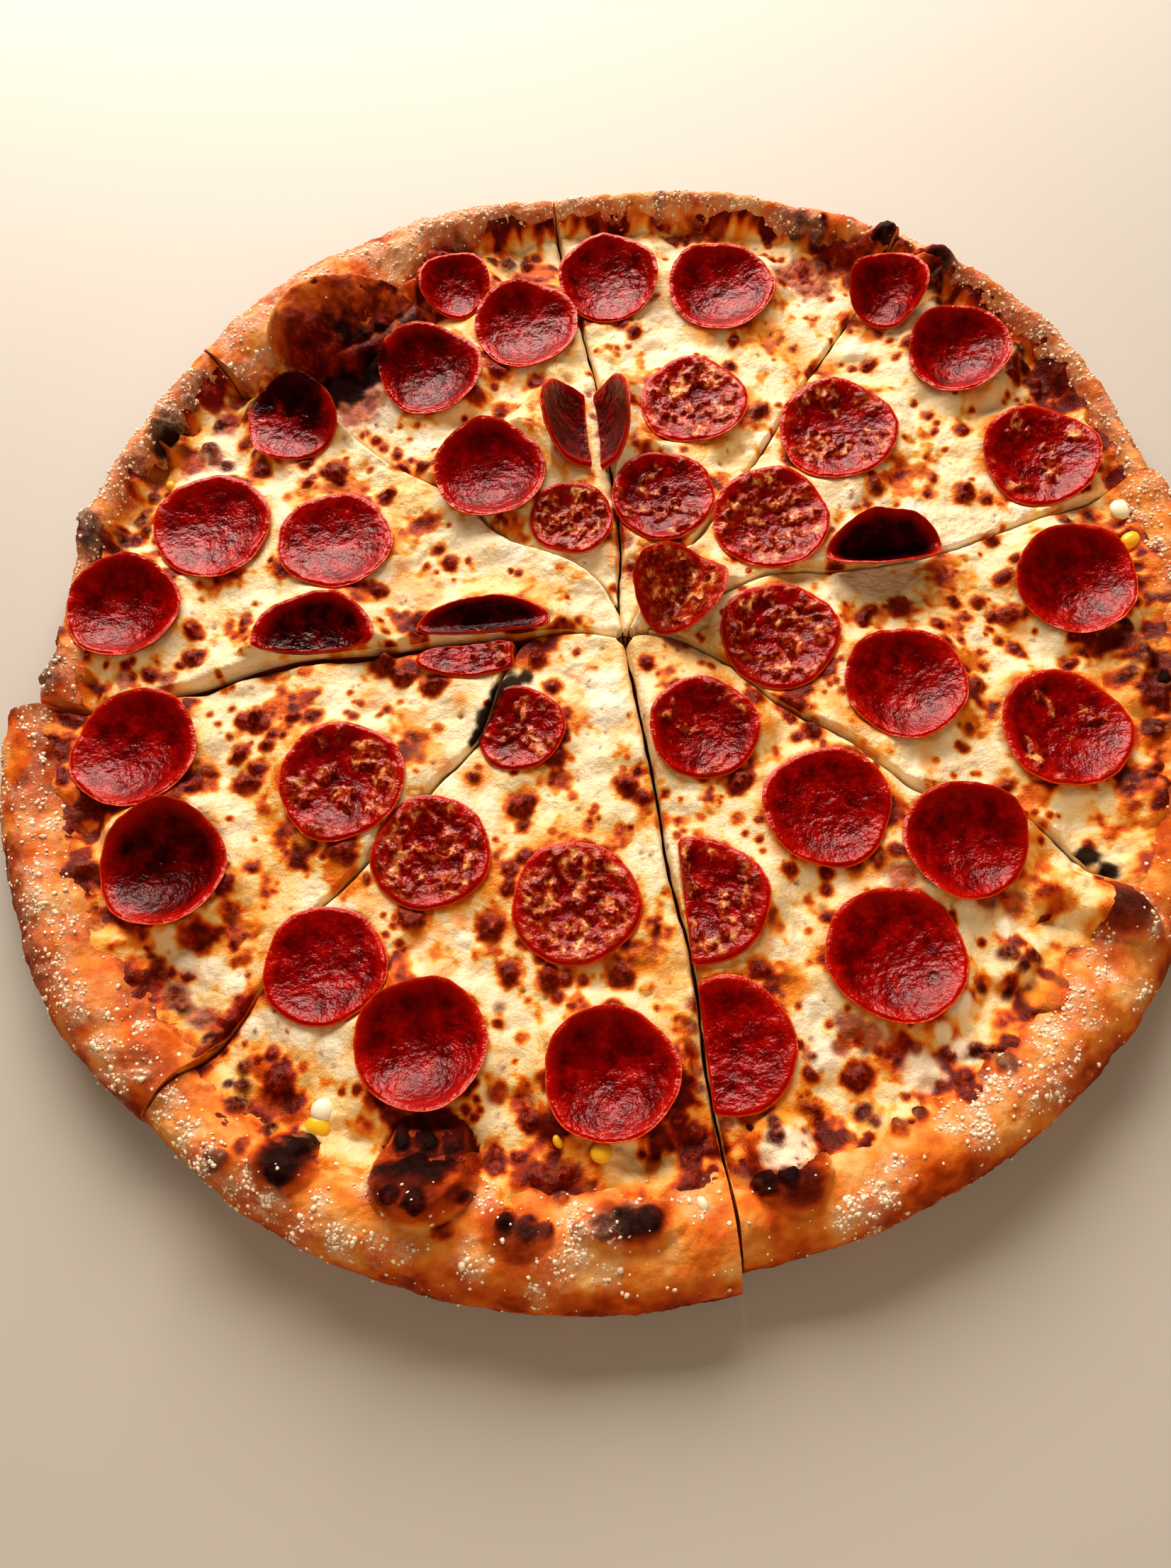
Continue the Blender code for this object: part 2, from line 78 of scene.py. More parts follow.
SLICES = {
    1: dict(cuts=("B", "A"), turn=(0, 0), tip=6,
            outer=(201, 202, 201, 199, 197), width=(17, 15, 13, 13, 13),
            height=(23, 21, 21, 21, 21)),
    2: dict(cuts=("C", "B"), turn=(0, 0), tip=6,
            outer=(191, 196, 200, 202, 203), width=(13, 13, 13, 15, 15),
            height=(19, 20, 21, 22, 22)),
    3: dict(cuts=("D", "C"), turn=(0, 0), tip=10,
            outer=(193, 196, 198, 197, 194), width=(27, 31, 31, 29, 24),
            height=(18, 20, 21, 20, 19)),
    4: dict(cuts=("E", "D"), turn=(0, 0), tip=6,
            outer=(196, 195, 194, 193, 191), width=(30, 29, 29, 32, 34),
            height=(20, 21, 21, 21, 20)),
    5: dict(cuts=("F", "E"), turn=(-360, 0), tip=6,
            outer=(206, 208, 207, 205, 201), width=(24, 28, 38, 42, 38),
            height=(20, 22, 22, 21, 20)),
    6: dict(cuts=("G", "F"), turn=(0, 0), tip=40,
            outer=(203, 206, 208, 210, 207), width=(24, 27, 30, 33, 32),
            height=(19, 20, 21, 22, 21)),
    7: dict(cuts=("H", "G"), turn=(0, 0), tip=6,
            outer=(199, 196, 194, 189, 191), width=(20, 15, 14, 13, 15),
            height=(20, 20, 20, 18, 17)),
    8: dict(cuts=("A", "H"), turn=(0, 0), tip=17,
            outer=(197, 202, 204, 205, 200), width=(14, 20, 42, 46, 32),
            height=(21, 22, 23, 23, 22)),
}

# Where each slice's cheese starts, close to the crossing.
TIPS = {1: 2.5, 2: 3.0, 3: 8.0, 4: 2.5, 5: 2.0, 6: 36.0, 7: 2.5, 8: 14.0}

# The rim's section, as in the solids, carried on round its outer side to the base.
RIM_SECTION = ((0.0, 0.0), (0.10, 0.14), (0.24, 0.52), (0.42, 0.86), (0.60, 1.0), (0.78, 0.95),
               (0.92, 0.76), (1.0, 0.46))

# Bubbles and folds: distance, bearing, length along the rim, width across it,
# height, turn, how charred each one is, and how steep its wall.
LUMPS = (
    (166, 122.5, 32, 15, 13, -18, 0.3, 2.6),
    (177, 247, 15, 16, 12, 0, 0.45, 1.9),
    (172, 279.5, 11, 14, 8, 0, 0.5, 1.25),
    (163, 320, 9, 22, 10, 0, 0.3, 1.25),
    (156, 310, 9, 8, 5, 0, 0.9, 1.25),
    (167, 349, 16, 11, 7, 0, 0.6, 1.25),
    (169, 334, 10, 8, 4, 0, 0.5, 1.25),
    (189, 52.5, 14, 8, 7, 0, 0.4, 1.25),
    (192, 47.5, 9, 8, 5, 0, 0.95, 1.25),
    (183, 148.5, 8, 7, 4, 0, 0.8, 1.25),
    (187, 163, 9, 7, 4, 0, 0.7, 1.25),
    (189, 181, 9, 8, 4, 0, 0.8, 1.25),
    (190, 236, 10, 9, 5, 0, 0.8, 1.25),
    (201, 231, 9, 7, 3, 0, 0.6, 1.25),
    (182, 265, 15, 7, 4, 0, 0.9, 1.25),
    (187, 256, 10, 7, 3, 0, 0.5, 1.25),
)


# The camera that places the small features: millimetres from the crossing, and pixels.
CAMERA_AT = (-17.0, -194.8, 337.0)
CAMERA_RIGHT = (0.996092, -0.080916, -0.035405)
CAMERA_UP = (0.088322, 0.912560, 0.399290)
FOCAL = 1600.0
FRAME = (1652, 2212)

# Small features by where they lie in the picture: across, down and radius there.
# Bubbles browned dark, golden spots, pools of oil, pits, fresh white cheese,
# sauce that shows, baked rough cheese and char.
BUBBLES = (
    (538, 935, 16), (567, 953, 14), (612, 970, 13), (757, 930, 13), (780, 970, 11),
    (797, 1010, 9), (765, 1010, 8), (792, 1032, 8), (365, 1018, 17), (345, 1020, 10),
    (440, 1012, 12), (415, 1012, 9), (385, 1037, 8), (380, 1052, 8), (340, 1065, 11),
    (365, 1087, 12), (345, 1105, 15), (486, 1208, 17), (358, 1225, 8), (670, 1098, 9),
    (775, 1065, 16), (731, 1135, 17), (738, 1165, 9), (588, 1300, 16), (570, 1290, 9),
    (692, 1305, 18), (718, 1370, 15), (775, 1385, 15), (800, 1378, 9), (750, 1580, 13),
    (700, 1640, 13), (730, 1635, 8), (765, 1660, 14), (780, 1635, 7), (398, 1525, 17),
    (387, 1488, 9), (800, 1655, 13), (720, 1228, 11), (717, 1255, 11), (740, 1212, 10),
    (875, 1375, 17), (955, 1585, 11), (985, 1600, 11), (1070, 1368, 13), (275, 930, 13),
    (215, 957, 10), (110, 1015, 12), (82, 1072, 17), (110, 1175, 9), (130, 1180, 8),
    (88, 1135, 7), (125, 1215, 9), (135, 1235, 9), (275, 1115, 16), (475, 668, 16),
    (432, 657, 9), (370, 668, 12), (435, 685, 8), (565, 660, 10), (598, 660, 10),
    (545, 702, 11), (635, 795, 11), (590, 877, 11), (535, 837, 8), (275, 890, 8),
    (247, 817, 9), (195, 763, 9), (530, 620, 7), (560, 640, 7), (912, 935, 9),
    (885, 1113, 14), (905, 1127, 11), (1045, 1100, 16), (1065, 985, 11), (1145, 1033, 13),
    (1125, 1040, 8), (1375, 972, 11), (1365, 1030, 8), (1360, 1055, 6), (1205, 1225, 11),
    (1235, 1215, 11), (1260, 1205, 8), (1405, 1115, 8), (1420, 1110, 8), (1165, 1235, 8),
    (1165, 1255, 7), (1143, 1518, 9), (1212, 1520, 16), (1150, 1565, 11), (1135, 1562, 8),
    (1335, 1490, 10), (1325, 1530, 9), (1355, 1522, 9), (1357, 1538, 9), (1235, 690, 10),
    (1360, 700, 12), (1215, 875, 11), (1225, 863, 8), (1265, 860, 13), (1320, 885, 9),
    (1420, 873, 12), (1345, 850, 9), (1380, 850, 8), (1430, 915, 11), (1440, 925, 7),
    (1410, 903, 7), (1510, 905, 8), (1505, 938, 9), (1400, 765, 9), (705, 532, 12),
    (757, 543, 10), (672, 567, 12), (880, 457, 8), (895, 470, 8), (890, 575, 7),
    (1070, 585, 11), (1225, 515, 8), (1425, 535, 9), (1458, 540, 10), (1462, 555, 7),
    (1475, 555, 5), (1315, 675, 7), (1355, 610, 10), (1390, 705, 8), (1530, 905, 9),
)
GOLDEN = (
    (317, 972, 10), (395, 972, 13), (437, 990, 9), (500, 990, 6), (302, 1110, 13),
    (565, 990, 9), (618, 1027, 13), (578, 1068, 7), (590, 1095, 6), (424, 1216, 7),
    (432, 1235, 7), (390, 1245, 6), (806, 1070, 9), (725, 1090, 8), (745, 1075, 8),
    (808, 1125, 12), (830, 957, 7), (700, 1187, 8), (780, 1175, 10), (700, 1210, 8),
    (735, 1465, 13), (727, 1497, 7), (745, 1412, 8), (715, 1395, 7), (365, 1495, 11),
    (430, 1505, 11), (905, 1630, 8), (408, 705, 9), (885, 1073, 8), (880, 1087, 8),
    (960, 1130, 7), (955, 1165, 6), (990, 1155, 11), (1040, 1155, 13), (1320, 1075, 8),
    (1345, 1095, 7), (1380, 1090, 8), (1315, 1107, 6), (1370, 1110, 8), (1350, 1125, 6),
    (1100, 1310, 11), (1140, 1315, 9), (1415, 745, 8), (480, 1490, 9), (550, 1480, 8),
    (650, 1240, 9), (560, 1130, 7), (380, 950, 22), (430, 945, 16),
)
OIL = (
    (383, 1163, 15), (430, 1185, 15), (818, 1005, 13), (598, 1005, 9), (650, 985, 12),
    (905, 1370, 12), (943, 1380, 10), (1085, 1020, 13), (1360, 1020, 20), (1355, 930, 11),
    (1125, 1400, 24), (1120, 1372, 16), (1365, 815, 20), (1370, 565, 18), (1390, 660, 20),
    (650, 1300, 14), (690, 1260, 12), (870, 1240, 10), (590, 1325, 16), (1340, 845, 12),
    (960, 995, 9), (1080, 470, 26), (1120, 500, 26), (300, 905, 10), (740, 1110, 8),
)
PITS = (
    (323, 1005, 3), (650, 1010, 5), (816, 1100, 3), (816, 1143, 4), (855, 1035, 3),
    (705, 1425, 10), (900, 1242, 4), (925, 1320, 7), (918, 1343, 3), (1160, 1283, 8),
    (1235, 1070, 3), (300, 1007, 3), (940, 1195, 3), (1200, 705, 4),
)
FRESH = (
    (395, 1440, 22), (430, 1455, 24), (465, 1480, 20), (360, 1450, 16), (655, 1325, 11),
    (265, 1360, 17), (300, 1370, 20), (330, 1385, 16), (1300, 1510, 28), (1360, 1482, 20),
    (1160, 1490, 22), (1150, 1420, 18), (1355, 1415, 18), (1330, 1460, 14), (1205, 490, 20),
    (1420, 1308, 14), (1110, 1625, 30), (1085, 1635, 18), (1130, 1682, 13), (520, 560, 22),
    (540, 590, 22), (600, 620, 20), (1350, 770, 16), (1290, 720, 18), (640, 430, 18),
    (1440, 715, 16), (720, 780, 24), (860, 1000, 30), (850, 960, 26),
    (1470, 705, 14), (1200, 700, 14), (1080, 620, 14), (960, 450, 16),
)
SAUCE = (
    (340, 1425, 18), (250, 1405, 22), (290, 1440, 22), (230, 1395, 14), (270, 1330, 12),
    (300, 570, 20), (340, 565, 18), (320, 600, 20), (275, 655, 20), (305, 650, 14),
    (1195, 1450, 20), (1225, 1470, 20), (1260, 1475, 16), (1185, 1480, 14), (1290, 1480, 9),
    (1130, 370, 25), (1170, 365, 25), (1200, 380, 22), (1150, 395, 25), (1210, 400, 20),
    (1110, 395, 20), (1010, 332, 14), (985, 335, 12), (950, 335, 12), (640, 385, 28),
    (620, 400, 22), (655, 370, 22), (450, 510, 40), (520, 520, 40), (500, 565, 36),
    (425, 545, 30), (560, 500, 30), (1025, 1585, 12), (1050, 1575, 12), (1080, 1565, 12),
    (905, 800, 16), (935, 862, 18), (952, 905, 13), (885, 742, 12), (868, 700, 12),
    (872, 730, 14), (880, 768, 14), (892, 805, 12), (848, 752, 10), (826, 735, 14),
    (978, 1420, 10), (975, 1450, 11), (976, 1480, 12), (980, 1510, 11), (984, 1535, 9),
    (1010, 1605, 12), (1270, 1240, 22), (1390, 1265, 24), (1430, 1275, 18), (830, 560, 5),
    (838, 590, 6), (845, 615, 6), (852, 640, 6), (858, 662, 5),
    (700, 1545, 16), (735, 1555, 16), (240, 965, 14), (180, 965, 16),
)
ROUGH = (
    (345, 1305, 34), (210, 1320, 28), (205, 1365, 24), (730, 1545, 26), (700, 1545, 14),
    (915, 1398, 15), (945, 1430, 15), (1530, 925, 24), (1290, 870, 26), (1390, 860, 22),
    (1540, 730, 16), (1420, 1100, 16), (250, 620, 22), (220, 680, 16),
    (1050, 480, 26), (700, 370, 22), (405, 945, 22), (925, 840, 24), (865, 742, 22), (888, 795, 20),
    (1310, 640, 18), (860, 500, 18),
)
CHARS = (
    (333, 1498, 11), (328, 1525, 12), (325, 1555, 13), (311, 1522, 8), (372, 1592, 10),
    (342, 1615, 12), (312, 1640, 16), (425, 1612, 17), (402, 1655, 18), (715, 1725, 13),
    (745, 1732, 15), (770, 1735, 12), (790, 1690, 11), (820, 1740, 13), (850, 1735, 16),
    (880, 1725, 18), (915, 1718, 18), (240, 585, 14), (232, 605, 16), (222, 630, 12),
    (285, 613, 12), (310, 635, 11), (205, 680, 9), (185, 715, 12), (195, 732, 9),
    (125, 735, 11), (165, 747, 12), (135, 775, 13), (170, 780, 12), (80, 890, 12),
    (75, 930, 14), (65, 950, 12), (245, 1410, 14), (285, 1460, 13), (235, 1392, 11),
    (454, 481, 13), (483, 477, 15), (513, 475, 15), (542, 458, 13), (572, 447, 11),
    (598, 436, 9), (443, 496, 11), (566, 1612, 13), (600, 1607, 15), (640, 1617, 14),
    (585, 1645, 16), (622, 1655, 18), (660, 1690, 12), (596, 1700, 16), (560, 1690, 13),
    (625, 1738, 13), (1225, 1565, 14), (1240, 1578, 12), (1275, 1592, 12),
    (1305, 1570, 10), (1385, 1473, 14), (1400, 1480, 12), (1425, 1500, 12), (1095, 1580, 12),
    (1095, 1605, 12), (1080, 1670, 18), (1110, 1662, 14), (1430, 1335, 15), (1470, 1342, 11),
    (1450, 1357, 9), (1435, 1390, 11), (1395, 1385, 9), (1605, 800, 11), (1600, 872, 12),
    (1630, 890, 16), (1620, 922, 16), (1600, 940, 12), (1640, 950, 14), (1635, 1015, 14),
    (1605, 1090, 14), (1625, 1085, 10), (1320, 400, 14), (1325, 420, 12), (1440, 480, 14),
    (1450, 500, 10), (715, 348, 12), (740, 346, 10), (690, 350, 9), (1130, 313, 13),
    (1155, 320, 13), (930, 285, 10), (1515, 715, 11), (1165, 350, 13), (1215, 365, 13),
    (1240, 350, 12), (660, 360, 10), (300, 578, 9), (265, 560, 8),
)

# Flour on the crust, and painted shadow over the hollows that lie in shade, which also have the
# height they lie at.
FLOUR = (
    (330, 445, 22), (310, 462, 16), (345, 475, 18), (372, 460, 20), (400, 390, 20),
    (380, 415, 18), (430, 370, 18), (470, 352, 16), (330, 492, 14), (290, 490, 13),
    (560, 330, 16), (600, 320, 22), (650, 310, 24), (510, 342, 16), (700, 310, 22),
    (745, 300, 20), (830, 305, 16), (240, 530, 22), (280, 545, 20), (200, 600, 18),
    (170, 650, 18), (150, 690, 16), (140, 740, 14), (120, 800, 14), (100, 845, 12),
    (1480, 480, 22), (1505, 502, 22), (1528, 525, 18), (1450, 465, 18), (1560, 580, 18),
    (1572, 620, 18), (1592, 655, 12), (1530, 560, 14), (1600, 725, 18), (1622, 765, 18),
    (1600, 805, 14), (1632, 845, 14), (1600, 1290, 28), (1578, 1268, 20), (1625, 1312, 18),
    (1560, 1312, 16), (1505, 1400, 26), (1522, 1432, 22), (1490, 1380, 18), (1480, 1470, 20),
    (1470, 1440, 18), (1500, 1492, 20), (1450, 1530, 28), (1482, 1542, 20), (1400, 1540, 24),
    (1370, 1570, 20), (1380, 1605, 18), (1340, 1582, 16), (1240, 1680, 20), (1262, 1650, 18),
    (1210, 1702, 20), (1235, 1722, 14), (1190, 1722, 14), (1602, 1400, 16), (1555, 1372, 18),
    (1540, 1342, 16), (687, 1680, 20), (813, 1724, 24), (853, 1738, 18), (933, 1650, 24),
    (973, 1678, 18), (900, 1677, 18), (987, 1704, 14), (667, 1777, 20), (787, 1797, 20),
    (753, 1824, 14), (853, 1797, 16), (573, 1763, 16), (813, 1770, 20), (527, 1670, 18),
    (59, 1272, 26), (82, 1290, 22), (53, 1233, 20), (40, 1168, 14), (70, 1161, 14),
    (92, 1306, 20), (78, 1362, 20), (94, 1384, 20), (114, 1402, 18), (114, 1424, 22),
    (142, 1434, 16), (148, 1468, 20), (160, 1500, 20), (170, 1530, 16), (203, 1512, 14),
    (203, 1444, 12), (240, 1560, 20), (270, 1602, 22), (302, 1640, 20), (342, 1672, 22),
    (382, 1702, 20), (432, 1732, 20), (482, 1752, 20), (452, 1702, 16), (532, 1762, 16),
)
PAINTED_SHADOWS = (
    (440, 530, 30, 22), (480, 515, 30, 22), (520, 500, 26, 22), (400, 540, 22, 22),
    (425, 570, 32, 12), (458, 560, 26, 12), (400, 560, 26, 12), (375, 575, 22, 14),
    (440, 595, 18, 12), (1540, 1200, 16, 14), (1570, 1225, 14, 14), (742, 960, 13, 9),
    (727, 965, 14, 9), (713, 974, 14, 9), (703, 986, 13, 9), (695, 999, 12, 9),
    (688, 1012, 11, 9), (682, 1025, 10, 9), (676, 1038, 10, 9), (670, 1050, 9, 9),
)

# The slices whose large bubble stands bare of cheese, and how far a slice's cheese
# stands up along a cut.
BARE_BUBBLES = (5, 8)
EDGE_RISE = {(7, "H"): 2.2, (7, "G"): 2.6, (8, "H"): -1.4, (6, "G"): -1.2, (6, "F"): 0.8,
             (3, "D"): 1.6, (5, "E"): 1.2, (1, "A"): 0.8}

# Curds, with their radius in millimetres and kind: 0 is white and 1 is yellow.
CURDS = ((450, 1565, 3.0, 0), (443, 1590, 3.6, 1), (848, 1627, 2.8, 1), (787, 1610, 1.7, 1),
         (1597, 760, 3.8, 1), (1583, 718, 3.8, 0), (235, 675, 2.2, 1), (990, 1700, 1.8, 0))


def seen(px, py, h=10.0):
    """The point at height h that lies at a place in the picture, and millimetres a pixel."""
    right = np.array(CAMERA_RIGHT)
    up = np.array(CAMERA_UP)
    ahead = -np.cross(right, up)
    ray = FOCAL * ahead + (px - FRAME[0] / 2) * right - (py - FRAME[1] / 2) * up
    t = (h - CAMERA_AT[2]) / ray[2]
    return CAMERA_AT[0] + t * ray[0], CAMERA_AT[1] + t * ray[1], t


# A slice's dark is painted shade: it darkens the inside of its cup where the cup lies in shade.
def pepperoni(tag, x, y, size, cup=6.0, **more):
    """One slice of pepperoni: its place, radius and how far its edge curls up."""
    item = dict(tag=tag, x=x, y=y, size=size, cup=cup, saddle=0.15, along=30.0, tilt=3.0,
                up=90.0, lift=0.0, fold=0.0, chops=(), crumbs=0.0, sunk=0.6, squash=1.0,
                cheesy=0.0, dark=0.0)
    item.update(more)
    return item


PEPPERONI = (
    pepperoni("1a", 9, 157, 19, 7, up=80, tilt=12, saddle=0.3, along=90),
    pepperoni("1b", 51, 147, 20, 7, up=90, tilt=6),
    pepperoni("1c", 35, 95, 19.5, 4, up=0, tilt=2, saddle=0.3, crumbs=0.9),
    pepperoni("1d", 19, 54, 18, 4, up=100, tilt=4, crumbs=0.5),
    pepperoni("1e", 3.5, 84, 18, 4, up=0, tilt=50, lift=6.5, along=90, saddle=0.6,
              chops=((5, 180),), dark=0.5),
    pepperoni("2a", 114, 135, 14.5, 7, up=40, tilt=28, lift=5.5, saddle=0.5, along=60),
    pepperoni("2b", 133, 104, 18, 8, up=40, tilt=12, lift=2),
    pepperoni("2c", 152, 57, 20, 5, up=60, tilt=7, saddle=0.35, along=60, crumbs=0.2),
    pepperoni("2d", 84, 76, 21, 5, up=60, tilt=5, crumbs=0.5),
    pepperoni("2e", 55, 40, 20, 5, up=70, tilt=5, saddle=0.3, crumbs=0.8),
    pepperoni("2f", 90, 23, 19.5, 5, up=90, tilt=5, lift=1.5, saddle=0.3, along=0, fold=30,
              squash=0.52, dark=1.0, sunk=0.2),
    pepperoni("2g", 21, 13, 15.5, 3, up=50, tilt=10, lift=1.5, fold=13, along=55, cheesy=0.3,
              crumbs=0.8),
    pepperoni("3a", 51, -5, 19.5, 4, up=80, tilt=4, saddle=0.3, along=70, crumbs=0.7),
    pepperoni("3b", 150, 4, 19.5, 8, up=70, tilt=9, lift=0.5),
    pepperoni("3c", 88, -28, 19.5, 6, up=60, tilt=3),
    pepperoni("3d", 134, -49, 20.5, 5, up=200, tilt=3, crumbs=0.1),
    pepperoni("4a", 21.5, -37, 17.5, 5, up=120, tilt=6, saddle=0.3, along=90, crumbs=0.2),
    pepperoni("4b", 56, -68, 19.5, 5, up=60, tilt=3, saddle=0.25, along=120),
    pepperoni("4c", 95, -83, 18.5, 7, up=60, tilt=5, saddle=0.4, along=140),
    pepperoni("4d", 68, -116, 20.5, 6, up=250, tilt=3),
    pepperoni("4e", 14.5, -94, 20, 4, up=0, tilt=3, saddle=0.3, along=90, chops=((5, 180),),
              crumbs=0.6),
    pepperoni("4f", 16.5, -137, 20, 3, up=0, tilt=4, chops=((6, 180),)),
    pepperoni("5a", -98, -104, 18.3, 4, up=230, tilt=3, saddle=0.3, along=50),
    pepperoni("5b", -66, -71, 18.5, 3, up=90, tilt=2, saddle=0.2, crumbs=0.7),
    pepperoni("5c", -70, -130, 19, 8, up=210, tilt=3, lift=0.4, saddle=0.3, along=20),
    pepperoni("5d", -17, -143, 19, 8, up=270, tilt=2),
    pepperoni("5e", -23, -91, 19.5, 3, up=0, tilt=1, crumbs=1.0),
    pepperoni("5f", -36, -31, 14.5, 3, up=45, tilt=6, saddle=0.3, chops=((11, 150),),
              crumbs=0.5),
    pepperoni("6a", -159, -28, 20.5, 7, up=20, tilt=3, saddle=0.2, along=0),
    pepperoni("6b", -93, -45, 20, 5, up=60, tilt=3, crumbs=0.6),
    pepperoni("6c", -147, -68, 19.5, 9, up=85, tilt=8, lift=0.5, saddle=0.4, along=10, dark=0.5),
    pepperoni("6d", -50.5, -3.5, 19, 3, up=270, tilt=4, along=0, squash=0.36,
              chops=((5.5, 92), (13.5, 0)), crumbs=0.4),
    pepperoni("7a", -139, 57, 20.5, 5, up=100, tilt=4),
    pepperoni("7b", -96, 46, 19.8, 5, up=200, tilt=4, saddle=0.2),
    pepperoni("7c", -167, 26, 19, 8, up=120, tilt=6, lift=0.5),
    pepperoni("7d", -102.5, 7.8, 20.3, 9, up=90, tilt=5, lift=0.3, along=0, squash=0.82,
              chops=((3, 268),), dark=0.8),
    pepperoni("7e", -111, 101, 16.5, 5, up=75, tilt=20, lift=4, saddle=0.6, along=140),
    pepperoni("7f", -46, 9.3, 22.5, 3, up=90, tilt=6, lift=0.7, along=0, fold=24,
              squash=0.36, chops=((3.3, 268),), dark=0.9),
    pepperoni("8a", -50.5, 160, 13.5, 6, up=105, tilt=18, lift=3.2, saddle=0.4, along=100),
    pepperoni("8b", -61, 119, 19, 8, up=110, tilt=10, lift=1, saddle=0.3, along=60, dark=0.3),
    pepperoni("8c", -24, 137, 19.5, 7, up=90, tilt=6),
    pepperoni("8d", -41, 69, 19.5, 8, up=110, tilt=7, lift=0.5),
    pepperoni("8e", -13.5, 47.5, 14.5, 4, up=90, tilt=5, saddle=0.3, chops=((12.5, 250),),
              cheesy=0.1, crumbs=1.0),
    pepperoni("8f", -11, 86, 18, 4, up=180, tilt=38, lift=5, along=90, saddle=0.6,
              chops=((6, 0),), dark=0.6),
)


# Shape rules shared with the solids

def curve(x, xs, ys):
    """A smooth line through named values, flat beyond both ends."""
    xs = np.asarray(xs, float)
    ys = np.asarray(ys, float)
    x = np.clip(np.asarray(x, float), xs[0], xs[-1])
    slope = np.gradient(ys, xs)
    i = np.clip(np.searchsorted(xs, x, side="right") - 1, 0, len(xs) - 2)
    span = xs[i + 1] - xs[i]
    t = (x - xs[i]) / span
    a = (1 + 2 * t) * (1 - t) ** 2
    b = t * (1 - t) ** 2
    c = t * t * (3 - 2 * t)
    d = t * t * (t - 1)
    return a * ys[i] + b * span * slope[i] + c * ys[i + 1] + d * span * slope[i + 1]


def polar(r, bearing):
    b = np.radians(bearing)
    return r * np.cos(b), r * np.sin(b)


def across(spec, r, u):
    """Bearing of the place u (0 to 1) across a slice at distance r."""
    low, high = spec["cuts"]
    first = np.radians(curve(r, CUT_AT, CUTS[low]) + spec["turn"][0])
    last = np.radians(curve(r, CUT_AT, CUTS[high]) + spec["turn"][1])
    first = first + 0.5 * CUT_GAP[low] / r
    last = last - 0.5 * CUT_GAP[high] / r
    return np.degrees(first + (last - first) * u)


def rim_value(spec, key, u):
    return curve(u, (0, 0.25, 0.5, 0.75, 1), spec[key])


def lumps(x, y):
    """Height that bubbles and folds add to the crust, and how charred they are."""
    total = np.zeros(np.shape(x))
    char = np.zeros(np.shape(x))
    for r, b, along, deep, tall, turn, burnt, steep in LUMPS:
        cx, cy = polar(r, b)
        a = math.radians(b + 90 + turn)
        p = (x - cx) * math.cos(a) + (y - cy) * math.sin(a)
        q = -(x - cx) * math.sin(a) + (y - cy) * math.cos(a)
        far = np.sqrt((p / along) ** 2 + (q / deep) ** 2)
        shape = np.clip(steep * (1 - far * far), 0, 1) ** 0.8
        total = total + tall * shape
        char = np.maximum(char, burnt * np.clip(1.3 * (1 - far), 0, 1))
    return total, char


def ripple(x, y, size):
    """Slow unevenness, about one up or down over the given size."""
    k = math.pi / size
    wave = np.sin(k * x + 1.7 * np.sin(0.6 * k * y + 0.4)) * np.cos(0.9 * k * y + 0.8)
    return wave + 0.5 * np.sin(1.9 * k * (x - y) + 2.1) * np.cos(1.7 * k * (x + y))


def tilted(item, p, q):
    """Height of a pepperoni's underside above its middle, in its own frame."""
    size = item["size"]
    ang = np.arctan2(q, p)
    rho2 = (p * p + q * q) / (size * size)
    side = np.cos(2 * (ang - math.radians(item["along"])))
    z = item["cup"] * rho2 ** 1.15 * (1 - item["saddle"] * side)
    a = math.radians(item["along"] + 90)
    off = np.abs(p * math.cos(a) + q * math.sin(a)) / size
    return z + item["fold"] * off ** 1.4


def reach(item, ang):
    """Radius of a pepperoni in its own direction, with any straight cut."""
    size = item["size"]
    r = size * (1 + 0.02 * np.sin(3 * ang + item["x"]) + 0.015 * np.sin(5 * ang + item["y"]))
    if item["squash"] < 1:
        a = math.radians(item["along"])
        thin = np.abs(np.sin(ang - a)) / item["squash"]
        r = r / np.hypot(np.cos(ang - a), thin)
    for distance, bearing in item["chops"]:
        facing = np.cos(ang - math.radians(bearing))
        r = np.where(facing > 0.05, np.minimum(r, distance / np.maximum(facing, 0.05)), r)
    return r


def seat_level(item):
    return CHEESE_TOP - 0.7 + 0.8 * ripple(item["x"], item["y"], 38) + item["lift"]


def place(item, p, q, extra):
    """From a pepperoni's own frame to the pizza's."""
    t = math.radians(item["tilt"])
    a = math.radians(item["up"])
    z = tilted(item, p, q) + extra
    f = p * math.cos(a) + q * math.sin(a)
    g = -p * math.sin(a) + q * math.cos(a)
    f2 = f * math.cos(t) - z * math.sin(t)
    z2 = f * math.sin(t) + z * math.cos(t)
    x = f2 * math.cos(a) - g * math.sin(a) + item["x"]
    y = f2 * math.sin(a) + g * math.cos(a) + item["y"]
    return np.stack([x, y, z2 + seat_level(item)], axis=-1)


EASE = 0.8


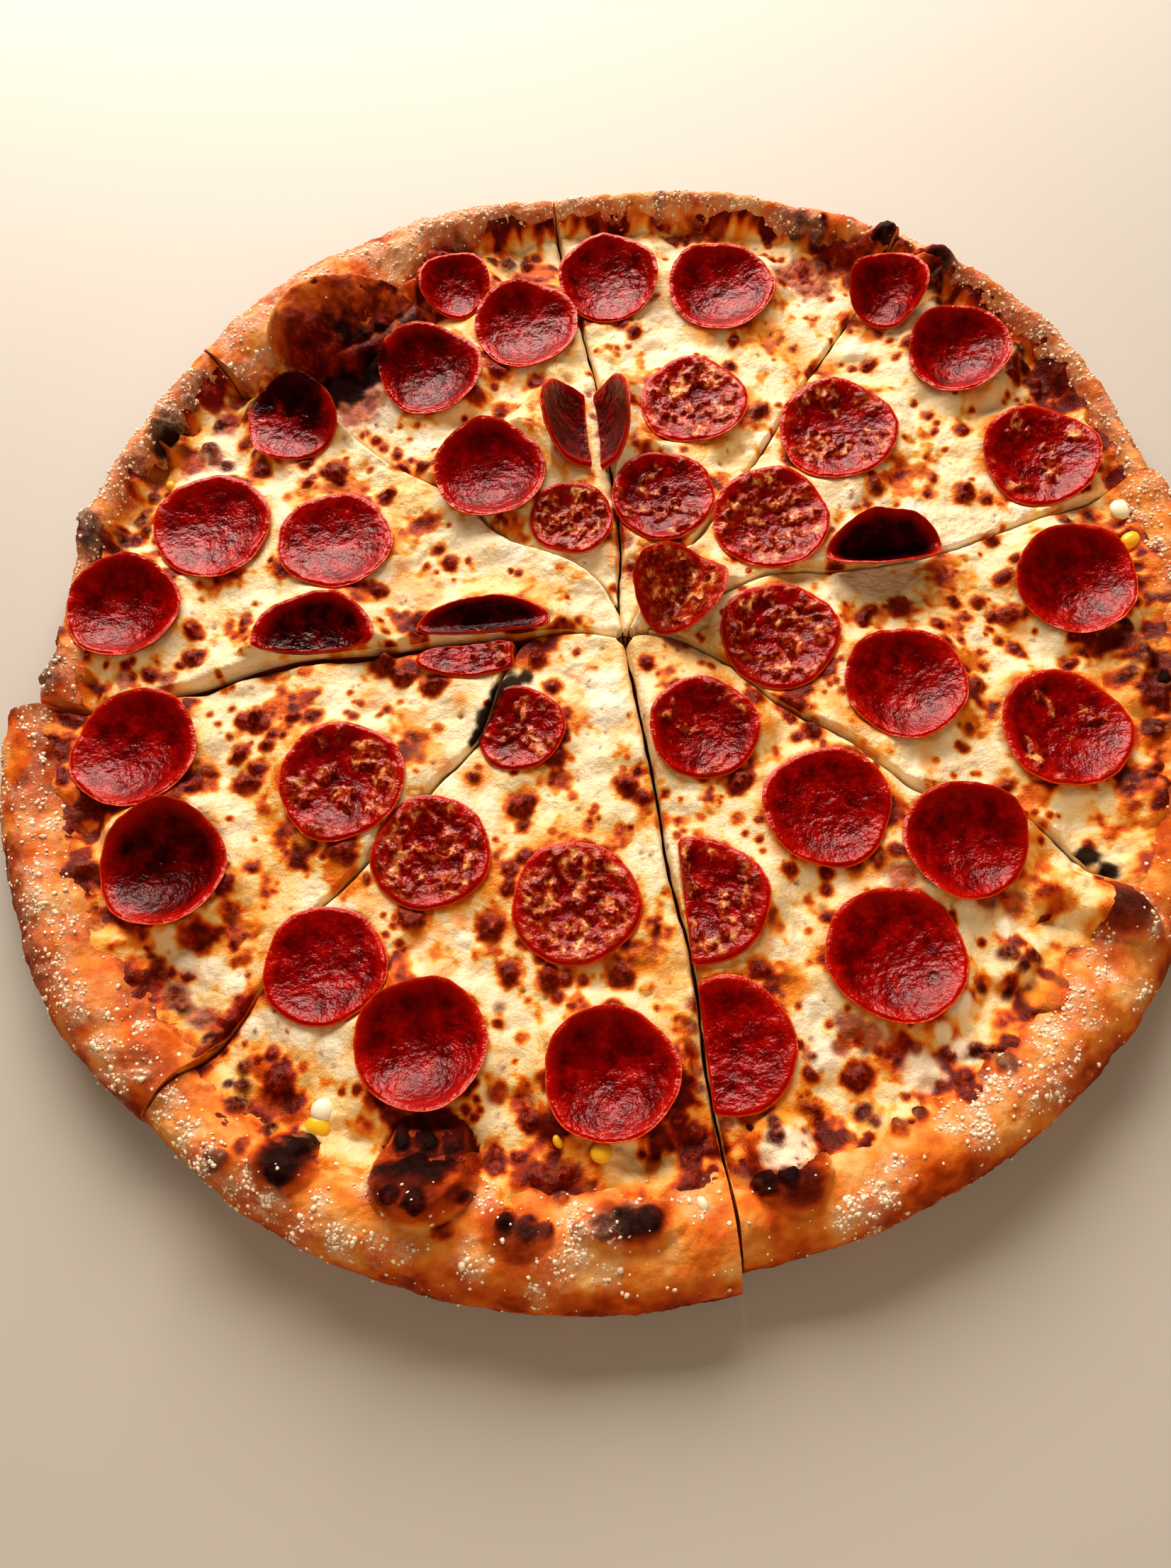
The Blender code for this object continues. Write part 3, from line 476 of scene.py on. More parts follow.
def seated(x, y, z, gap):
    """Lower a surface so that every pepperoni clears it."""
    z = z.copy()
    for item in PEPPERONI:
        near = np.hypot(x - item["x"], y - item["y"]) < item["size"] + 6
        if not np.any(near):
            continue
        dx = x[near] - item["x"]
        dy = y[near] - item["y"]
        t = math.radians(item["tilt"])
        a = math.radians(item["up"])
        f2 = dx * math.cos(a) + dy * math.sin(a)
        g = -dx * math.sin(a) + dy * math.cos(a)
        f = f2 / math.cos(t)
        for step in range(5):
            p = f * math.cos(a) - g * math.sin(a)
            q = f * math.sin(a) + g * math.cos(a)
            ang = np.arctan2(q, p)
            far = np.hypot(p, q)
            limit = reach(item, ang)
            inside = np.minimum(far, limit)
            h = tilted(item, inside * np.cos(ang), inside * np.sin(ang))
            f = (f2 + h * math.sin(t)) / math.cos(t)
        beyond = np.maximum(far - limit, 0)
        pin = inside * np.cos(ang)
        qin = inside * np.sin(ang)
        fin = pin * math.cos(a) + qin * math.sin(a)
        under = fin * math.sin(t) + h * math.cos(t) + seat_level(item)
        under = under - gap / math.cos(t) + EASE * beyond
        z[near] = np.where(beyond < 6, np.minimum(z[near], under), z[near])
    return z


def mounded(number, x, y, z):
    """Raise a slice's cheese against the edges of its own pepperoni."""
    z = z.copy()
    ring = np.zeros_like(z)
    for item in PEPPERONI:
        near = np.hypot(x - item["x"], y - item["y"]) < item["size"] + 13
        if int(item["tag"][0]) != number or not np.any(near):
            continue
        dx = x[near] - item["x"]
        dy = y[near] - item["y"]
        ang = np.arctan2(dy, dx)
        far = np.hypot(dx, dy)
        limit = reach(item, ang)
        edge = place(item, limit * np.cos(ang), limit * np.sin(ang), 0.0)[..., 2]
        wob = noise(2.2 * np.cos(ang) + item["x"], 2.2 * np.sin(ang) + item["y"], 1.0, 61)
        share = np.clip(item["sunk"] * (1 + 0.45 * wob), 0, 1.0)
        wide = 4.5 + 1.5 * wob
        fall = np.exp(-(np.maximum(far - limit - 0.5, 0) / wide) ** 2)
        lift = np.clip((edge - z[near]) * share, 0, 6.5)
        z[near] = z[near] + lift * fall
        beyond = np.maximum(far - limit, 0)
        ring[near] = np.maximum(ring[near], np.exp(-(beyond / 3.5) ** 2))
    return z, ring


# Noise and maps

RNG = np.random.default_rng(20)
ANGLES = RNG.uniform(0, 2 * math.pi, (256, 256))
JITTER = RNG.uniform(0, 1, (2, 256, 256))


def noise(x, y, size, seed=0):
    """Gradient noise, about -1 to 1, with features of the given size."""
    x = np.asarray(x, float) / size + 13.7 * seed
    y = np.asarray(y, float) / size + 7.3 * seed
    xi = np.floor(x).astype(int)
    yi = np.floor(y).astype(int)
    xf = x - xi
    yf = y - yi
    sx = xf * xf * xf * (xf * (xf * 6 - 15) + 10)
    sy = yf * yf * yf * (yf * (yf * 6 - 15) + 10)
    total = 0
    for i in (0, 1):
        for j in (0, 1):
            ang = ANGLES[(xi + i) & 255, (yi + j) & 255]
            dot = np.cos(ang) * (xf - i) + np.sin(ang) * (yf - j)
            weight = (sx if i else 1 - sx) * (sy if j else 1 - sy)
            total = total + dot * weight
    return total * 1.5


def fbm(x, y, size, seed=0, octaves=4, gain=0.5):
    total = 0
    weight = 1.0
    for k in range(octaves):
        total = total + weight * noise(x, y, size / 2 ** k, seed + k)
        weight *= gain
    return total


def cells(x, y, size, seed=0):
    """Distance to the nearest scattered point, in units of the given size."""
    x = np.asarray(x, float) / size + 5.1 * seed
    y = np.asarray(y, float) / size + 9.7 * seed
    xi = np.floor(x).astype(int)
    yi = np.floor(y).astype(int)
    best = np.full(np.shape(x), 9.0)
    for i in (-1, 0, 1):
        for j in (-1, 0, 1):
            a = (xi + i) & 255
            b = (yi + j) & 255
            px = xi + i + JITTER[0][a, b]
            py = yi + j + JITTER[1][a, b]
            best = np.minimum(best, np.hypot(x - px, y - py))
    return best


def smooth(x, low, high):
    t = np.clip((x - low) / (high - low), 0, 1)
    return t * t * (3 - 2 * t)


CELL = 0.5
GRID = 860
AXIS = (np.arange(GRID) - GRID / 2 + 0.5) * CELL
GX, GY = np.meshgrid(AXIS, AXIS)


def sample(grid, x, y):
    """Read a map between its cells."""
    fx = np.clip(x / CELL + GRID / 2 - 0.5, 0, GRID - 1.001)
    fy = np.clip(y / CELL + GRID / 2 - 0.5, 0, GRID - 1.001)
    ix = fx.astype(int)
    iy = fy.astype(int)
    tx = fx - ix
    ty = fy - iy
    top = grid[iy, ix] * (1 - tx) + grid[iy, ix + 1] * tx
    low = grid[iy + 1, ix] * (1 - tx) + grid[iy + 1, ix + 1] * tx
    return top * (1 - ty) + low * ty


def window(x, y, reach_mm):
    c = int(round(x / CELL + GRID / 2 - 0.5))
    r = int(round(y / CELL + GRID / 2 - 0.5))
    n = int(math.ceil(reach_mm / CELL)) + 1
    rows = slice(max(r - n, 0), min(r + n + 1, GRID))
    cols = slice(max(c - n, 0), min(c + n + 1, GRID))
    return rows, cols


def covered(x, y):
    """How far inside a pepperoni a point is, in millimetres, at least -99."""
    best = -99.0
    for item in PEPPERONI:
        best = max(best, item["size"] - math.hypot(x - item["x"], y - item["y"]))
    return best


def domes(x, y, size, seed, room):
    """Round lumps about scattered points, 0 to 1 high."""
    return np.sqrt(np.clip(1 - (cells(x, y, size, seed) / room) ** 2, 0, 1))


def random_place(rng, reach_mm):
    r = reach_mm * math.sqrt(rng.random())
    a = rng.random() * 2 * math.pi
    return r * math.cos(a), r * math.sin(a)


def stamp(mask, features, h, grow, outer, inner, strength=1.0):
    """Raise a mask at each feature, with a soft uneven edge."""
    for px, py, size, *own in features:
        rows, cols, far = spot(px, py, size, own[0] if own else h, grow)
        mask[rows, cols] = np.maximum(mask[rows, cols], strength * smooth(far, outer, inner))


def cheese_maps():
    """Relief and colour masks of the cheese and the crust, over the whole pizza."""
    wx = GX + 3.5 * fbm(GX, GY, 16, 2, 3)
    wy = GY + 3.5 * fbm(GX, GY, 16, 6, 3)
    uneven = smooth(fbm(GX, GY, 28, 11, 3), -0.25, 0.5)
    lumpy = 1 + 0.7 * np.exp(-((GX - 25) ** 2 + (GY - 70) ** 2) / 75 ** 2)
    relief = 2.0 * (domes(wx, wy, 13, 1, 0.85) - 0.55) * (0.45 + 0.55 * uneven) * lumpy
    relief += (domes(wx, wy, 5.2, 4, 0.85) - 0.6) * uneven * lumpy
    relief += 0.95 * fbm(GX, GY, 15, 3, 4, 0.55)
    relief += 0.16 * fbm(GX, GY, 2.2, 31, 3, 0.6)
    golden = smooth(fbm(GX, GY, 18, 5, 4, 0.6), 0.05, 0.75)
    speckle = smooth(fbm(GX, GY, 5.5, 15, 3, 0.6), 0.25, 0.85)
    valley = smooth(relief, 0.3, -1.2)
    amber = smooth(fbm(GX, GY, 40, 62, 3, 0.6), -0.15, 0.55)
    peak = smooth(relief, 0.7, 2.0)
    # The colour is deeper and more golden in the cheese's hollows and paler on its peaks.
    toast = 0.62 * golden + 0.4 * speckle * (0.2 + 0.8 * golden) + 0.34 * valley * golden
    toast += 0.3 * amber - 0.25 * peak * (1 - amber)
    toast = np.clip(toast, 0, 1)
    blister, pit, fresh, sauce, rough, char, flour, deep = np.zeros((8, GRID, GRID))
    oil = 0.9 * smooth(fbm(GX, GY, 22, 41, 3, 0.55), 0.35, 0.8)
    rng = np.random.default_rng(5)
    for px, py, size in BUBBLES:
        x, y, mm = seen(px, py)
        add_blister(relief, toast, blister, x, y, 0.86 * size * mm, 0.8, rng)
    stamp(toast, GOLDEN, 10.0, 1.2, 1.25, 0.35, 0.78)
    stamp(oil, OIL, 10.0, 1.5, 1.4, 0.3, 1.2)
    for count, least, most, tall in ((70, 1.0, 1.8, 0.7), (380, 0.4, 0.9, 0.55)):
        placed = 0
        while placed < count:
            x, y = random_place(rng, 186)
            dense = 0.35 + 1.1 * float(noise(np.array([x]), np.array([y]), 30, 51)[0])
            if rng.random() > dense or covered(x, y) > 1.0:
                continue
            placed += 1
            add_blister(relief, toast, blister, x, y, rng.uniform(least, most), tall, rng)
    holes = []
    for px, py, size in PITS:
        x, y, mm = seen(px, py)
        holes.append((x, y, size * mm))
    for k in range(700):
        holes.append((*random_place(rng, 188), rng.uniform(0.35, 0.9)))
    for x, y, size in holes:
        rows, cols = window(x, y, size * 2)
        far = np.hypot(GX[rows, cols] - x, GY[rows, cols] - y) / size
        hole = smooth(far, 1.3, 0.3)
        relief[rows, cols] -= 0.9 * size * hole
        pit[rows, cols] = np.maximum(pit[rows, cols], hole)
    for px, py, size in FRESH:
        rows, cols, far = spot(px, py, size, 11.0, 1.4)
        relief[rows, cols] += 0.9 * smooth(far, 1.3, 0.2)
    stamp(fresh, FRESH, 11.0, 1.4, 1.3, 0.7)
    stamp(sauce, [row for row in SAUCE if row[2] < 25], 10.0, 1.6, 1.3, 0.7)
    stamp(sauce, [row for row in SAUCE if row[2] >= 25], 14.0, 1.6, 1.3, 0.7)
    stamp(rough, ROUGH, 10.0, 1.5, 1.35, 0.6)
    stamp(char, CHARS, 19.0, 1.5, 1.3, 0.65)
    stamp(flour, FLOUR, 19.0, 2.5, 2.0, 0.2)
    # Painted shadow: a mask of the hollows in shade, which the materials darken to near black.
    stamp(deep, PAINTED_SHADOWS, 10.0, 1.6, 1.3, 0.7)
    grit = domes(GX, GY, 3.1, 8, 0.75)
    relief += rough * (1.3 * (grit - 0.4) + 0.5 * fbm(GX, GY, 3, 17, 3))
    relief += sauce * (0.9 * (grit - 0.6) - 0.5)
    toast = np.maximum(toast, rough * (0.45 + 0.4 * fbm(GX, GY, 5, 18, 3)))
    toast = toast * (1 - 0.85 * fresh)
    oil = oil * (1 - 0.7 * fresh)
    fine = domes(GX, GY, 2.1, 14, 0.75)
    crag = char * (0.9 + 0.75 * (fine - 0.4) + 0.6 * fbm(GX, GY, 4.5, 23, 3, 0.6))
    return dict(relief=relief, toast=toast, blister=blister, pit=pit, oil=oil, fresh=fresh,
                sauce=sauce, char=char, crag=crag, flour=flour, deep=deep)


def spot(px, py, size, h, grow):
    """The part of the maps about a feature, and how far out each cell is in radii."""
    x, y, mm = seen(px, py, h)
    radius = max(size * mm, 0.3)
    rows, cols = window(x, y, radius * grow + 3)
    gx = GX[rows, cols]
    gy = GY[rows, cols]
    wob = 1 + 0.32 * fbm(gx, gy, 5.5, 87, 3)
    return rows, cols, np.hypot(gx - x, gy - y) * wob / radius


def add_blister(relief, toast, blister, x, y, size, tall, rng):
    """A browned bubble made of a few domes, with a golden ring about it."""
    parts = [(x, y, size)]
    if size > 1.6:
        for k in range(rng.integers(1, 4)):
            a = rng.random() * 2 * math.pi
            d = size * rng.uniform(0.6, 1.1)
            parts.append((x + d * math.cos(a), y + d * math.sin(a), size * rng.uniform(0.4, 0.8)))
    for cx, cy, radius in parts:
        rows, cols = window(cx, cy, radius * 3 + 2)
        wob = 1 + 0.25 * fbm(GX[rows, cols], GY[rows, cols], 2.6, 77, 2)
        far = np.hypot(GX[rows, cols] - cx, GY[rows, cols] - cy) * wob / radius
        dome = np.sqrt(np.clip(1 - far * far, 0, 1))
        pebble = domes(GX[rows, cols], GY[rows, cols], 1.8, 19, 0.65) - 0.4
        relief[rows, cols] += radius * tall * dome + min(0.4, 0.16 * radius) * dome * pebble
        blister[rows, cols] = np.maximum(blister[rows, cols], smooth(far, 1.25, 0.75))
        halo = smooth(far, 1.4 + 1.7 / radius ** 0.5, 0.9)
        toast[rows, cols] = np.maximum(toast[rows, cols], 0.86 * halo)


MAPS = cheese_maps()


# Mesh building

def strip(first, second, ta=None, tb=None):
    """Triangles between two rows of point numbers that run the same way."""
    n = len(first)
    m = len(second)
    ta = np.linspace(0, 1, n) if ta is None else np.asarray(ta)
    tb = np.linspace(0, 1, m) if tb is None else np.asarray(tb)
    order = np.argsort(np.concatenate([ta[1:], tb[1:]]), kind="stable")
    of_a = order < n - 1
    i = np.cumsum(of_a) - of_a
    j = np.cumsum(~of_a) - (~of_a)
    first = np.asarray(first)
    second = np.asarray(second)
    third = np.where(of_a, first[np.minimum(i + 1, n - 1)], second[np.minimum(j + 1, m - 1)])
    return np.stack([first[i], second[j], third], 1)


class Patches:
    """Collects points, triangles and per-point values for one mesh."""

    def __init__(self, *names):
        self.points = []
        self.faces = []
        self.values = {name: [] for name in names}
        self.count = 0

    def rows(self, rows, flip=False, along=None, **values):
        """Rows of points joined one to the next."""
        start = self.count
        index = []
        for row in rows:
            index.append(np.arange(self.count, self.count + len(row)))
            self.count += len(row)
            self.points.append(np.asarray(row, float))
        along = along or [None] * len(index)
        for a, b, ta, tb in zip(index[:-1], index[1:], along[:-1], along[1:]):
            tri = strip(a, b, ta, tb)
            self.faces.append(tri[:, ::-1] if flip else tri)
        total = self.count - start
        for name, bucket in self.values.items():
            value = values.get(name, 0.0)
            if isinstance(value, list):
                value = np.concatenate([np.asarray(v, float) for v in value])
            bucket.append(np.broadcast_to(np.asarray(value, float), (total,)))
        return index

    def join(self, first, second, ta=None, tb=None, flip=False):
        tri = strip(first, second, ta, tb)
        self.faces.append(tri[:, ::-1] if flip else tri)

    def make(self, name, material):
        points = np.concatenate(self.points)
        faces = np.concatenate(self.faces)
        sound = np.all(faces != np.roll(faces, 1, axis=1), axis=1)
        return make_mesh(name, points, faces[sound], material,
                         {k: np.concatenate(v) for k, v in self.values.items()})


def make_mesh(name, points, faces, material, values=None):
    """A mesh in metres of the shared frame, from millimetres about the crossing."""
    points = (points + (JUNCTION[0], JUNCTION[1], 0.0)) * 0.001
    mesh = bpy.data.meshes.new(name)
    mesh.vertices.add(len(points))
    mesh.vertices.foreach_set("co", np.asarray(points, np.float32).ravel())
    mesh.loops.add(len(faces) * 3)
    mesh.loops.foreach_set("vertex_index", np.asarray(faces, np.int32).ravel())
    mesh.polygons.add(len(faces))
    mesh.polygons.foreach_set("loop_start", np.arange(0, len(faces) * 3, 3, dtype=np.int32))
    mesh.update(calc_edges=True)
    mesh.validate()
    for key, value in (values or {}).items():
        layer = mesh.attributes.new(key, "FLOAT", "POINT")
        layer.data.foreach_set("value", np.asarray(value, np.float32))
    mesh.shade_smooth()
    mesh.materials.append(material)
    obj = bpy.data.objects.new(name, mesh)
    bpy.context.scene.collection.objects.link(obj)
    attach(obj, "root")
    return obj


# How far the foot of the rim stands in from its outside.
FOOT_IN = 5.0


def section(spec, u):
    """The rim's section at each u: distance and height along the way round it."""
    width = rim_value(spec, "width", u)
    outer = rim_value(spec, "outer", u)
    tall = rim_value(spec, "height", u)
    q, h = np.array(RIM_SECTION).T
    r = outer[:, None] - width[:, None] * (1 - q[None, :])
    z = BASE_TOP + (tall[:, None] - BASE_TOP) * h[None, :]
    r = np.concatenate([r, outer[:, None] - 0.8, outer[:, None] - FOOT_IN], 1)
    z = np.concatenate([z, np.full((len(u), 1), 3.6), np.zeros((len(u), 1))], 1)
    return r, z


def smooth_run(values, count):
    """Spread rows of control values evenly along a smooth line through them."""
    k = values.shape[1]
    s = np.linspace(0, k - 1, count)
    i = np.clip(s.astype(int), 0, k - 2)
    t = s - i
    pad = np.concatenate([values[:, :1], values, values[:, -1:]], 1)
    p0 = pad[:, i]
    p1 = pad[:, i + 1]
    p2 = pad[:, i + 2]
    p3 = pad[:, i + 3]
    return 0.5 * (2 * p1 + (p2 - p0) * t + (2 * p0 - 5 * p1 + 4 * p2 - p3) * t ** 2
                  + (3 * p1 - p0 - 3 * p2 + p3) * t ** 3)


def rim_surface(spec, u, count):
    """Points and masks of the rim's skin, one row per place along the rim."""
    r, z = section(spec, u)
    r = smooth_run(r, 240)
    z = smooth_run(z, 240)
    step = np.hypot(np.diff(r, axis=1), np.diff(z, axis=1))
    run = np.concatenate([np.zeros((len(u), 1)), np.cumsum(step, 1)], 1)
    run = run / run[:, -1:]
    want = np.linspace(0, 1, count)
    r = np.stack([np.interp(want, run[k], r[k]) for k in range(len(u))])
    z = np.stack([np.interp(want, run[k], z[k]) for k in range(len(u))])
    b = np.stack([across(spec, r[:, k], u) for k in range(count)], 1)
    x, y = polar(r, b)
    outer = rim_value(spec, "outer", u)[:, None]
    width = rim_value(spec, "width", u)[:, None]
    q = (r - (outer - width)) / width
    side = np.clip((want[None, :] - 0.72) / 0.2, 0, 1) * np.ones_like(q)
    above = 1 - smooth(side, 0.0, 1.0)
    up, char = lumps(x, y)
    z = z + above * (smooth(q, -0.35, -0.05) * up + smooth(q, 0.0, 0.22) * ripple(x, y, 21))
    z = np.maximum(z, 0.0)
    return x, y, z, q, want[None, :] * np.ones_like(q), char, up


def displaced(x, y, z, amount):
    """Move a grid of points along its own surface direction."""
    p = np.stack([x, y, z], -1)
    du = np.gradient(p, axis=0)
    dv = np.gradient(p, axis=1)
    n = np.cross(dv, du)
    n /= np.maximum(np.linalg.norm(n, axis=-1, keepdims=True), 1e-9)
    return p + n * amount[..., None], n


def sideways(row):
    """Level unit vectors at right angles to the way out from the crossing."""
    way = np.stack([-row[:, 1], row[:, 0], np.zeros(len(row))], 1)
    return way / np.linalg.norm(way, axis=1, keepdims=True)


def at_level(row, z):
    row = row.copy()
    row[:, 2] = z
    return row


def crust_masks(number, x, y, q, s, char, up, arc, way):
    """Colour masks of the skin of a crust; s runs from its inner side round to the foot."""
    def patches(size, seed, octaves, gain, low, high):
        return smooth(fbm(arc, way, size, seed, octaves, gain), low, high)

    top_side = smooth(s, 0.85, 0.7)
    swollen = smooth(up, 1.5, 6.0) * smooth(q, 0.75, 0.55)
    cheesy = smooth(s, 0.42, 0.06) * patches(10, 46, 4, 0.6, -0.45, 0.15)
    low = np.clip((s - 0.5) / 0.3, 0, 1) * np.clip((0.9 - s) / 0.2, 0, 1)
    brown = 0.43 + 0.5 * smooth(s, 0.55, 0.92) + 0.32 * fbm(arc, way, 22, 12, 4, 0.6)
    # Painted light: the crust is lighter towards the front, which stands in shade; it is also
    # darker towards the left.
    brown = brown - 0.08 * smooth(y, -60, -170) + 0.08 * smooth(x, -120, -180)
    brown = brown + 0.26 * smooth(s, 0.34, 0.1) + 0.6 * char - 0.25 * cheesy
    brown = brown + 0.3 * smooth(s, 0.36, 0.16) * patches(9, 33, 3, 0.5, 0.0, 0.6)
    brown = brown + 0.22 * low * patches(12, 38, 3, 0.6, 0.1, 0.7)
    brown = brown + (0.12 if number == 8 else 0.3) * swollen
    sauce = np.maximum(smooth(s, 0.2, 0.04) * patches(11, 44, 3, 0.5, 0.25, 0.6),
                       sample(MAPS["sauce"], x, y) * smooth(s, 0.62, 0.5))
    burnt = np.maximum(0.45 * char * (0.7 + 0.6 * fbm(arc, way, 5, 22, 3)),
                       sample(MAPS["char"], x, y) * top_side)
    # A pale film, strongest towards the back of the pizza and fading to the front.
    film = np.clip(0.42 + 0.55 * np.cos(np.arctan2(y, x) - math.radians(105)), 0.06, 1)
    drift = 0.35 + 0.95 * patches(7, 57, 4, 0.7, -0.5, 0.6)
    flour = np.maximum(drift * sample(MAPS["flour"], x, y) * top_side,
                       film * patches(18, 55, 4, 0.7, -0.7, 0.4)) * (1 - 0.9 * swollen)
    flour = np.clip(flour, 0, 1) * smooth(s, 0.12, 0.34) * smooth(s, 0.92, 0.72)
    # Painted shadow over the hollows in shade, on the rim's inner side.
    deep = sample(MAPS["deep"], x, y) * smooth(s, 0.45, 0.36)
    return dict(brown=brown, char=burnt, sauce=sauce, flour=flour, cheesy=cheesy * (1 - swollen),
                deep=deep)


def cut_face(mesh, number, spec, upper, end):
    """A crust's torn face along a cut (end 0 or -1), from its top line to the underside."""
    flip = end == 0
    side = 0 if end == 0 else 1
    radius = np.hypot(upper[:, 0], upper[:, 1])
    limit = float(rim_value(spec, "outer", np.array([float(side)]))[0]) - FOOT_IN
    low = at_level(upper, 0.0)
    low[:, :2] *= np.minimum(1.0, limit / radius)[:, None]
    tangent = sideways(upper) * (1 - 2 * side)
    levels = [upper]
    for v in (0.12, 0.3, 0.5, 0.7, 0.88):
        row = upper + (low - upper) * v
        depth = 0.35 + 0.35 * noise(radius, row[:, 2] * 3 + 50 * number, 5, 66 + end)
        tall = np.clip((upper[:, 2] - 2) / 8, 0, 1)
        flare = 0.42 * CUT_GAP[spec["cuts"][side]] * smooth(v, 0.2, 0.8)
        levels.append(row + tangent * (depth * tall - flare)[:, None])
    crumb = [np.full(len(upper), c) for c in (0.2, 0.6, 0.8, 0.8, 0.8, 0.5)]
    index = mesh.rows(levels, flip=flip, crumb=crumb, brown=0.4,
                      sauce=[smooth(upper[:, 2], 9, 6)] * 6)
    chain = low[:int(np.argmax(radius >= limit)) + 1]
    lower = mesh.rows([chain], brown=0.55)[0]
    ta = np.maximum.accumulate(np.hypot(levels[-1][:, 0], levels[-1][:, 1]))
    tb = np.maximum.accumulate(np.hypot(chain[:, 0], chain[:, 1]))
    mesh.join(index[-1], lower, ta, tb, flip=flip)


def underside(mesh, spec, tip, columns, foot):
    rows = []
    for share in np.linspace(0, 1, 24):
        n = max(3, int(round(columns * max(share, 0.05) / 5)))
        u = np.linspace(0, 1, n)
        r = tip + (rim_value(spec, "outer", u) - FOOT_IN - tip) * share
        x, y = polar(r, across(spec, r, u))
        rows.append(np.stack([x, y, np.zeros(n)], 1))
    mesh.rows(rows + [foot], flip=True, brown=0.6)


# Spacing of the points of a crust and of a sheet of cheese.
CRUST_PITCH = 0.95
CHEESE_PITCH = 0.85

GRAIN_BEDS = []


def crust_piece(number, spec, material):
    """One slice's crust: base, rim, underside and the two cut faces."""
    tip = TIPS[number]
    length = 0.0175 * 200 * float(across(spec, 200.0, 1.0) - across(spec, 200.0, 0.0))
    columns = int(length / CRUST_PITCH)
    girth = max(spec["width"]) + 34
    count = int(girth / CRUST_PITCH)
    u = np.linspace(0, 1, columns)
    x, y, z, q, s, char, up = rim_surface(spec, u, count)
    arc = u[:, None] * length * np.ones_like(x) + 300.0 * number
    way = s * girth
    relief = 0.55 * fbm(arc, way, 13, 1, 4, 0.5)
    relief += 0.3 * fbm(arc, way, 3.5, 4, 3, 0.65)
    fade = smooth(s, 0.0, 0.06) * smooth(s, 1.0, 0.93)
    crag = sample(MAPS["crag"], x, y) * smooth(s, 0.85, 0.7)
    points, normal = displaced(x, y, z, relief * fade + crag)
    clear = np.maximum(seated(points[..., 0], points[..., 1], points[..., 2], 0.3), BASE_TOP)
    points[..., 2] = np.maximum(np.where(s < 0.5, clear, points[..., 2]), 0.0)
    points[:, -1, 2] = 0.0
    masks = crust_masks(number, x, y, q, s, char, up, arc, way)
    GRAIN_BEDS.append((points, normal, masks["flour"], s))
    mesh = Patches("crumb", *masks)
    rim = [points[:, k] for k in range(count)]
    rim_index = mesh.rows(rim, **{key: list(mask.T) for key, mask in masks.items()})
    inner = rim_value(spec, "outer", u) - rim_value(spec, "width", u)
    floor = []
    for r in np.concatenate([[tip], np.arange(tip + 3, float(inner.min()) - 2, 3.0)]):
        fx, fy = polar(r, across(spec, r, np.linspace(0, 1, 9)))
        floor.append(np.stack([fx, fy, np.full(9, BASE_TOP)], 1))
    floor_index = mesh.rows(floor, brown=0.5, sauce=1.0)
    mesh.join(floor_index[-1], rim_index[0])
    for end in (0, -1):
        cut_face(mesh, number, spec, np.array([row[end] for row in floor + rim]), end)
    underside(mesh, spec, tip, columns, points[:, -1])
    mesh.rows([at_level(floor[0], 0.0), floor[0]], brown=0.3, crumb=0.6)
    obj = mesh.make("slice%d_crust_look" % number, material)
    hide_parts("slice%d_crust" % number)
    return obj


def bite(r, number, offset, seed, wide):
    """Share of a row of cheese that an uneven cut edge takes off."""
    depth = 0.1 + 0.28 * (1 + noise(r, r * 0 + 31 * number + offset, 8, seed))
    return depth * smooth(r, 3, 20) / max(wide, 4)


def up_the_rim(number, spec, u, q, x, y, z):
    """Carry cheese up the rim's inner side, and tell where a bubble stands bare."""
    share = np.interp(np.clip(q, 0, 1), *zip(*RIM_SECTION))
    up = lumps(x, y)[0]
    slope = (rim_value(spec, "height", u) - BASE_TOP) * share + smooth(q, -0.35, -0.05) * up
    slope = slope + smooth(q, 0.0, 0.22) * ripple(x, y, 21)
    ends = np.minimum(0.34 + 0.16 * fbm(x, y, 14, 81, 3), 0.45)
    bare = smooth(up, 0.8, 3.5) * (number in BARE_BUBBLES)
    thick = (z - BASE_TOP) * smooth(q, ends, ends - 0.36) * (1 - bare)
    thick = thick - 0.5 * np.maximum(smooth(q, ends - 0.08, ends + 0.04), bare)
    return BASE_TOP + slope + thick, bare


def browned(q, x, y, ring):
    """How much more the cheese is toasted near the rim and about the pepperoni."""
    golden = smooth(q, -0.9, 0.1) * (0.16 + 0.55 * smooth(fbm(x, y, 9, 92, 3), -0.1, 0.6))
    golden = (golden + 0.4 * smooth(q, 0.0, 0.3)) * (0.7 + 0.3 * smooth(y, -110, -10))
    return golden + 0.35 * ring * smooth(fbm(x, y, 9, 93, 3), -0.3, 0.4)


CHEESE_MASKS = ("toast", "blister", "pit", "oil", "fresh", "char", "deep", "sauce")


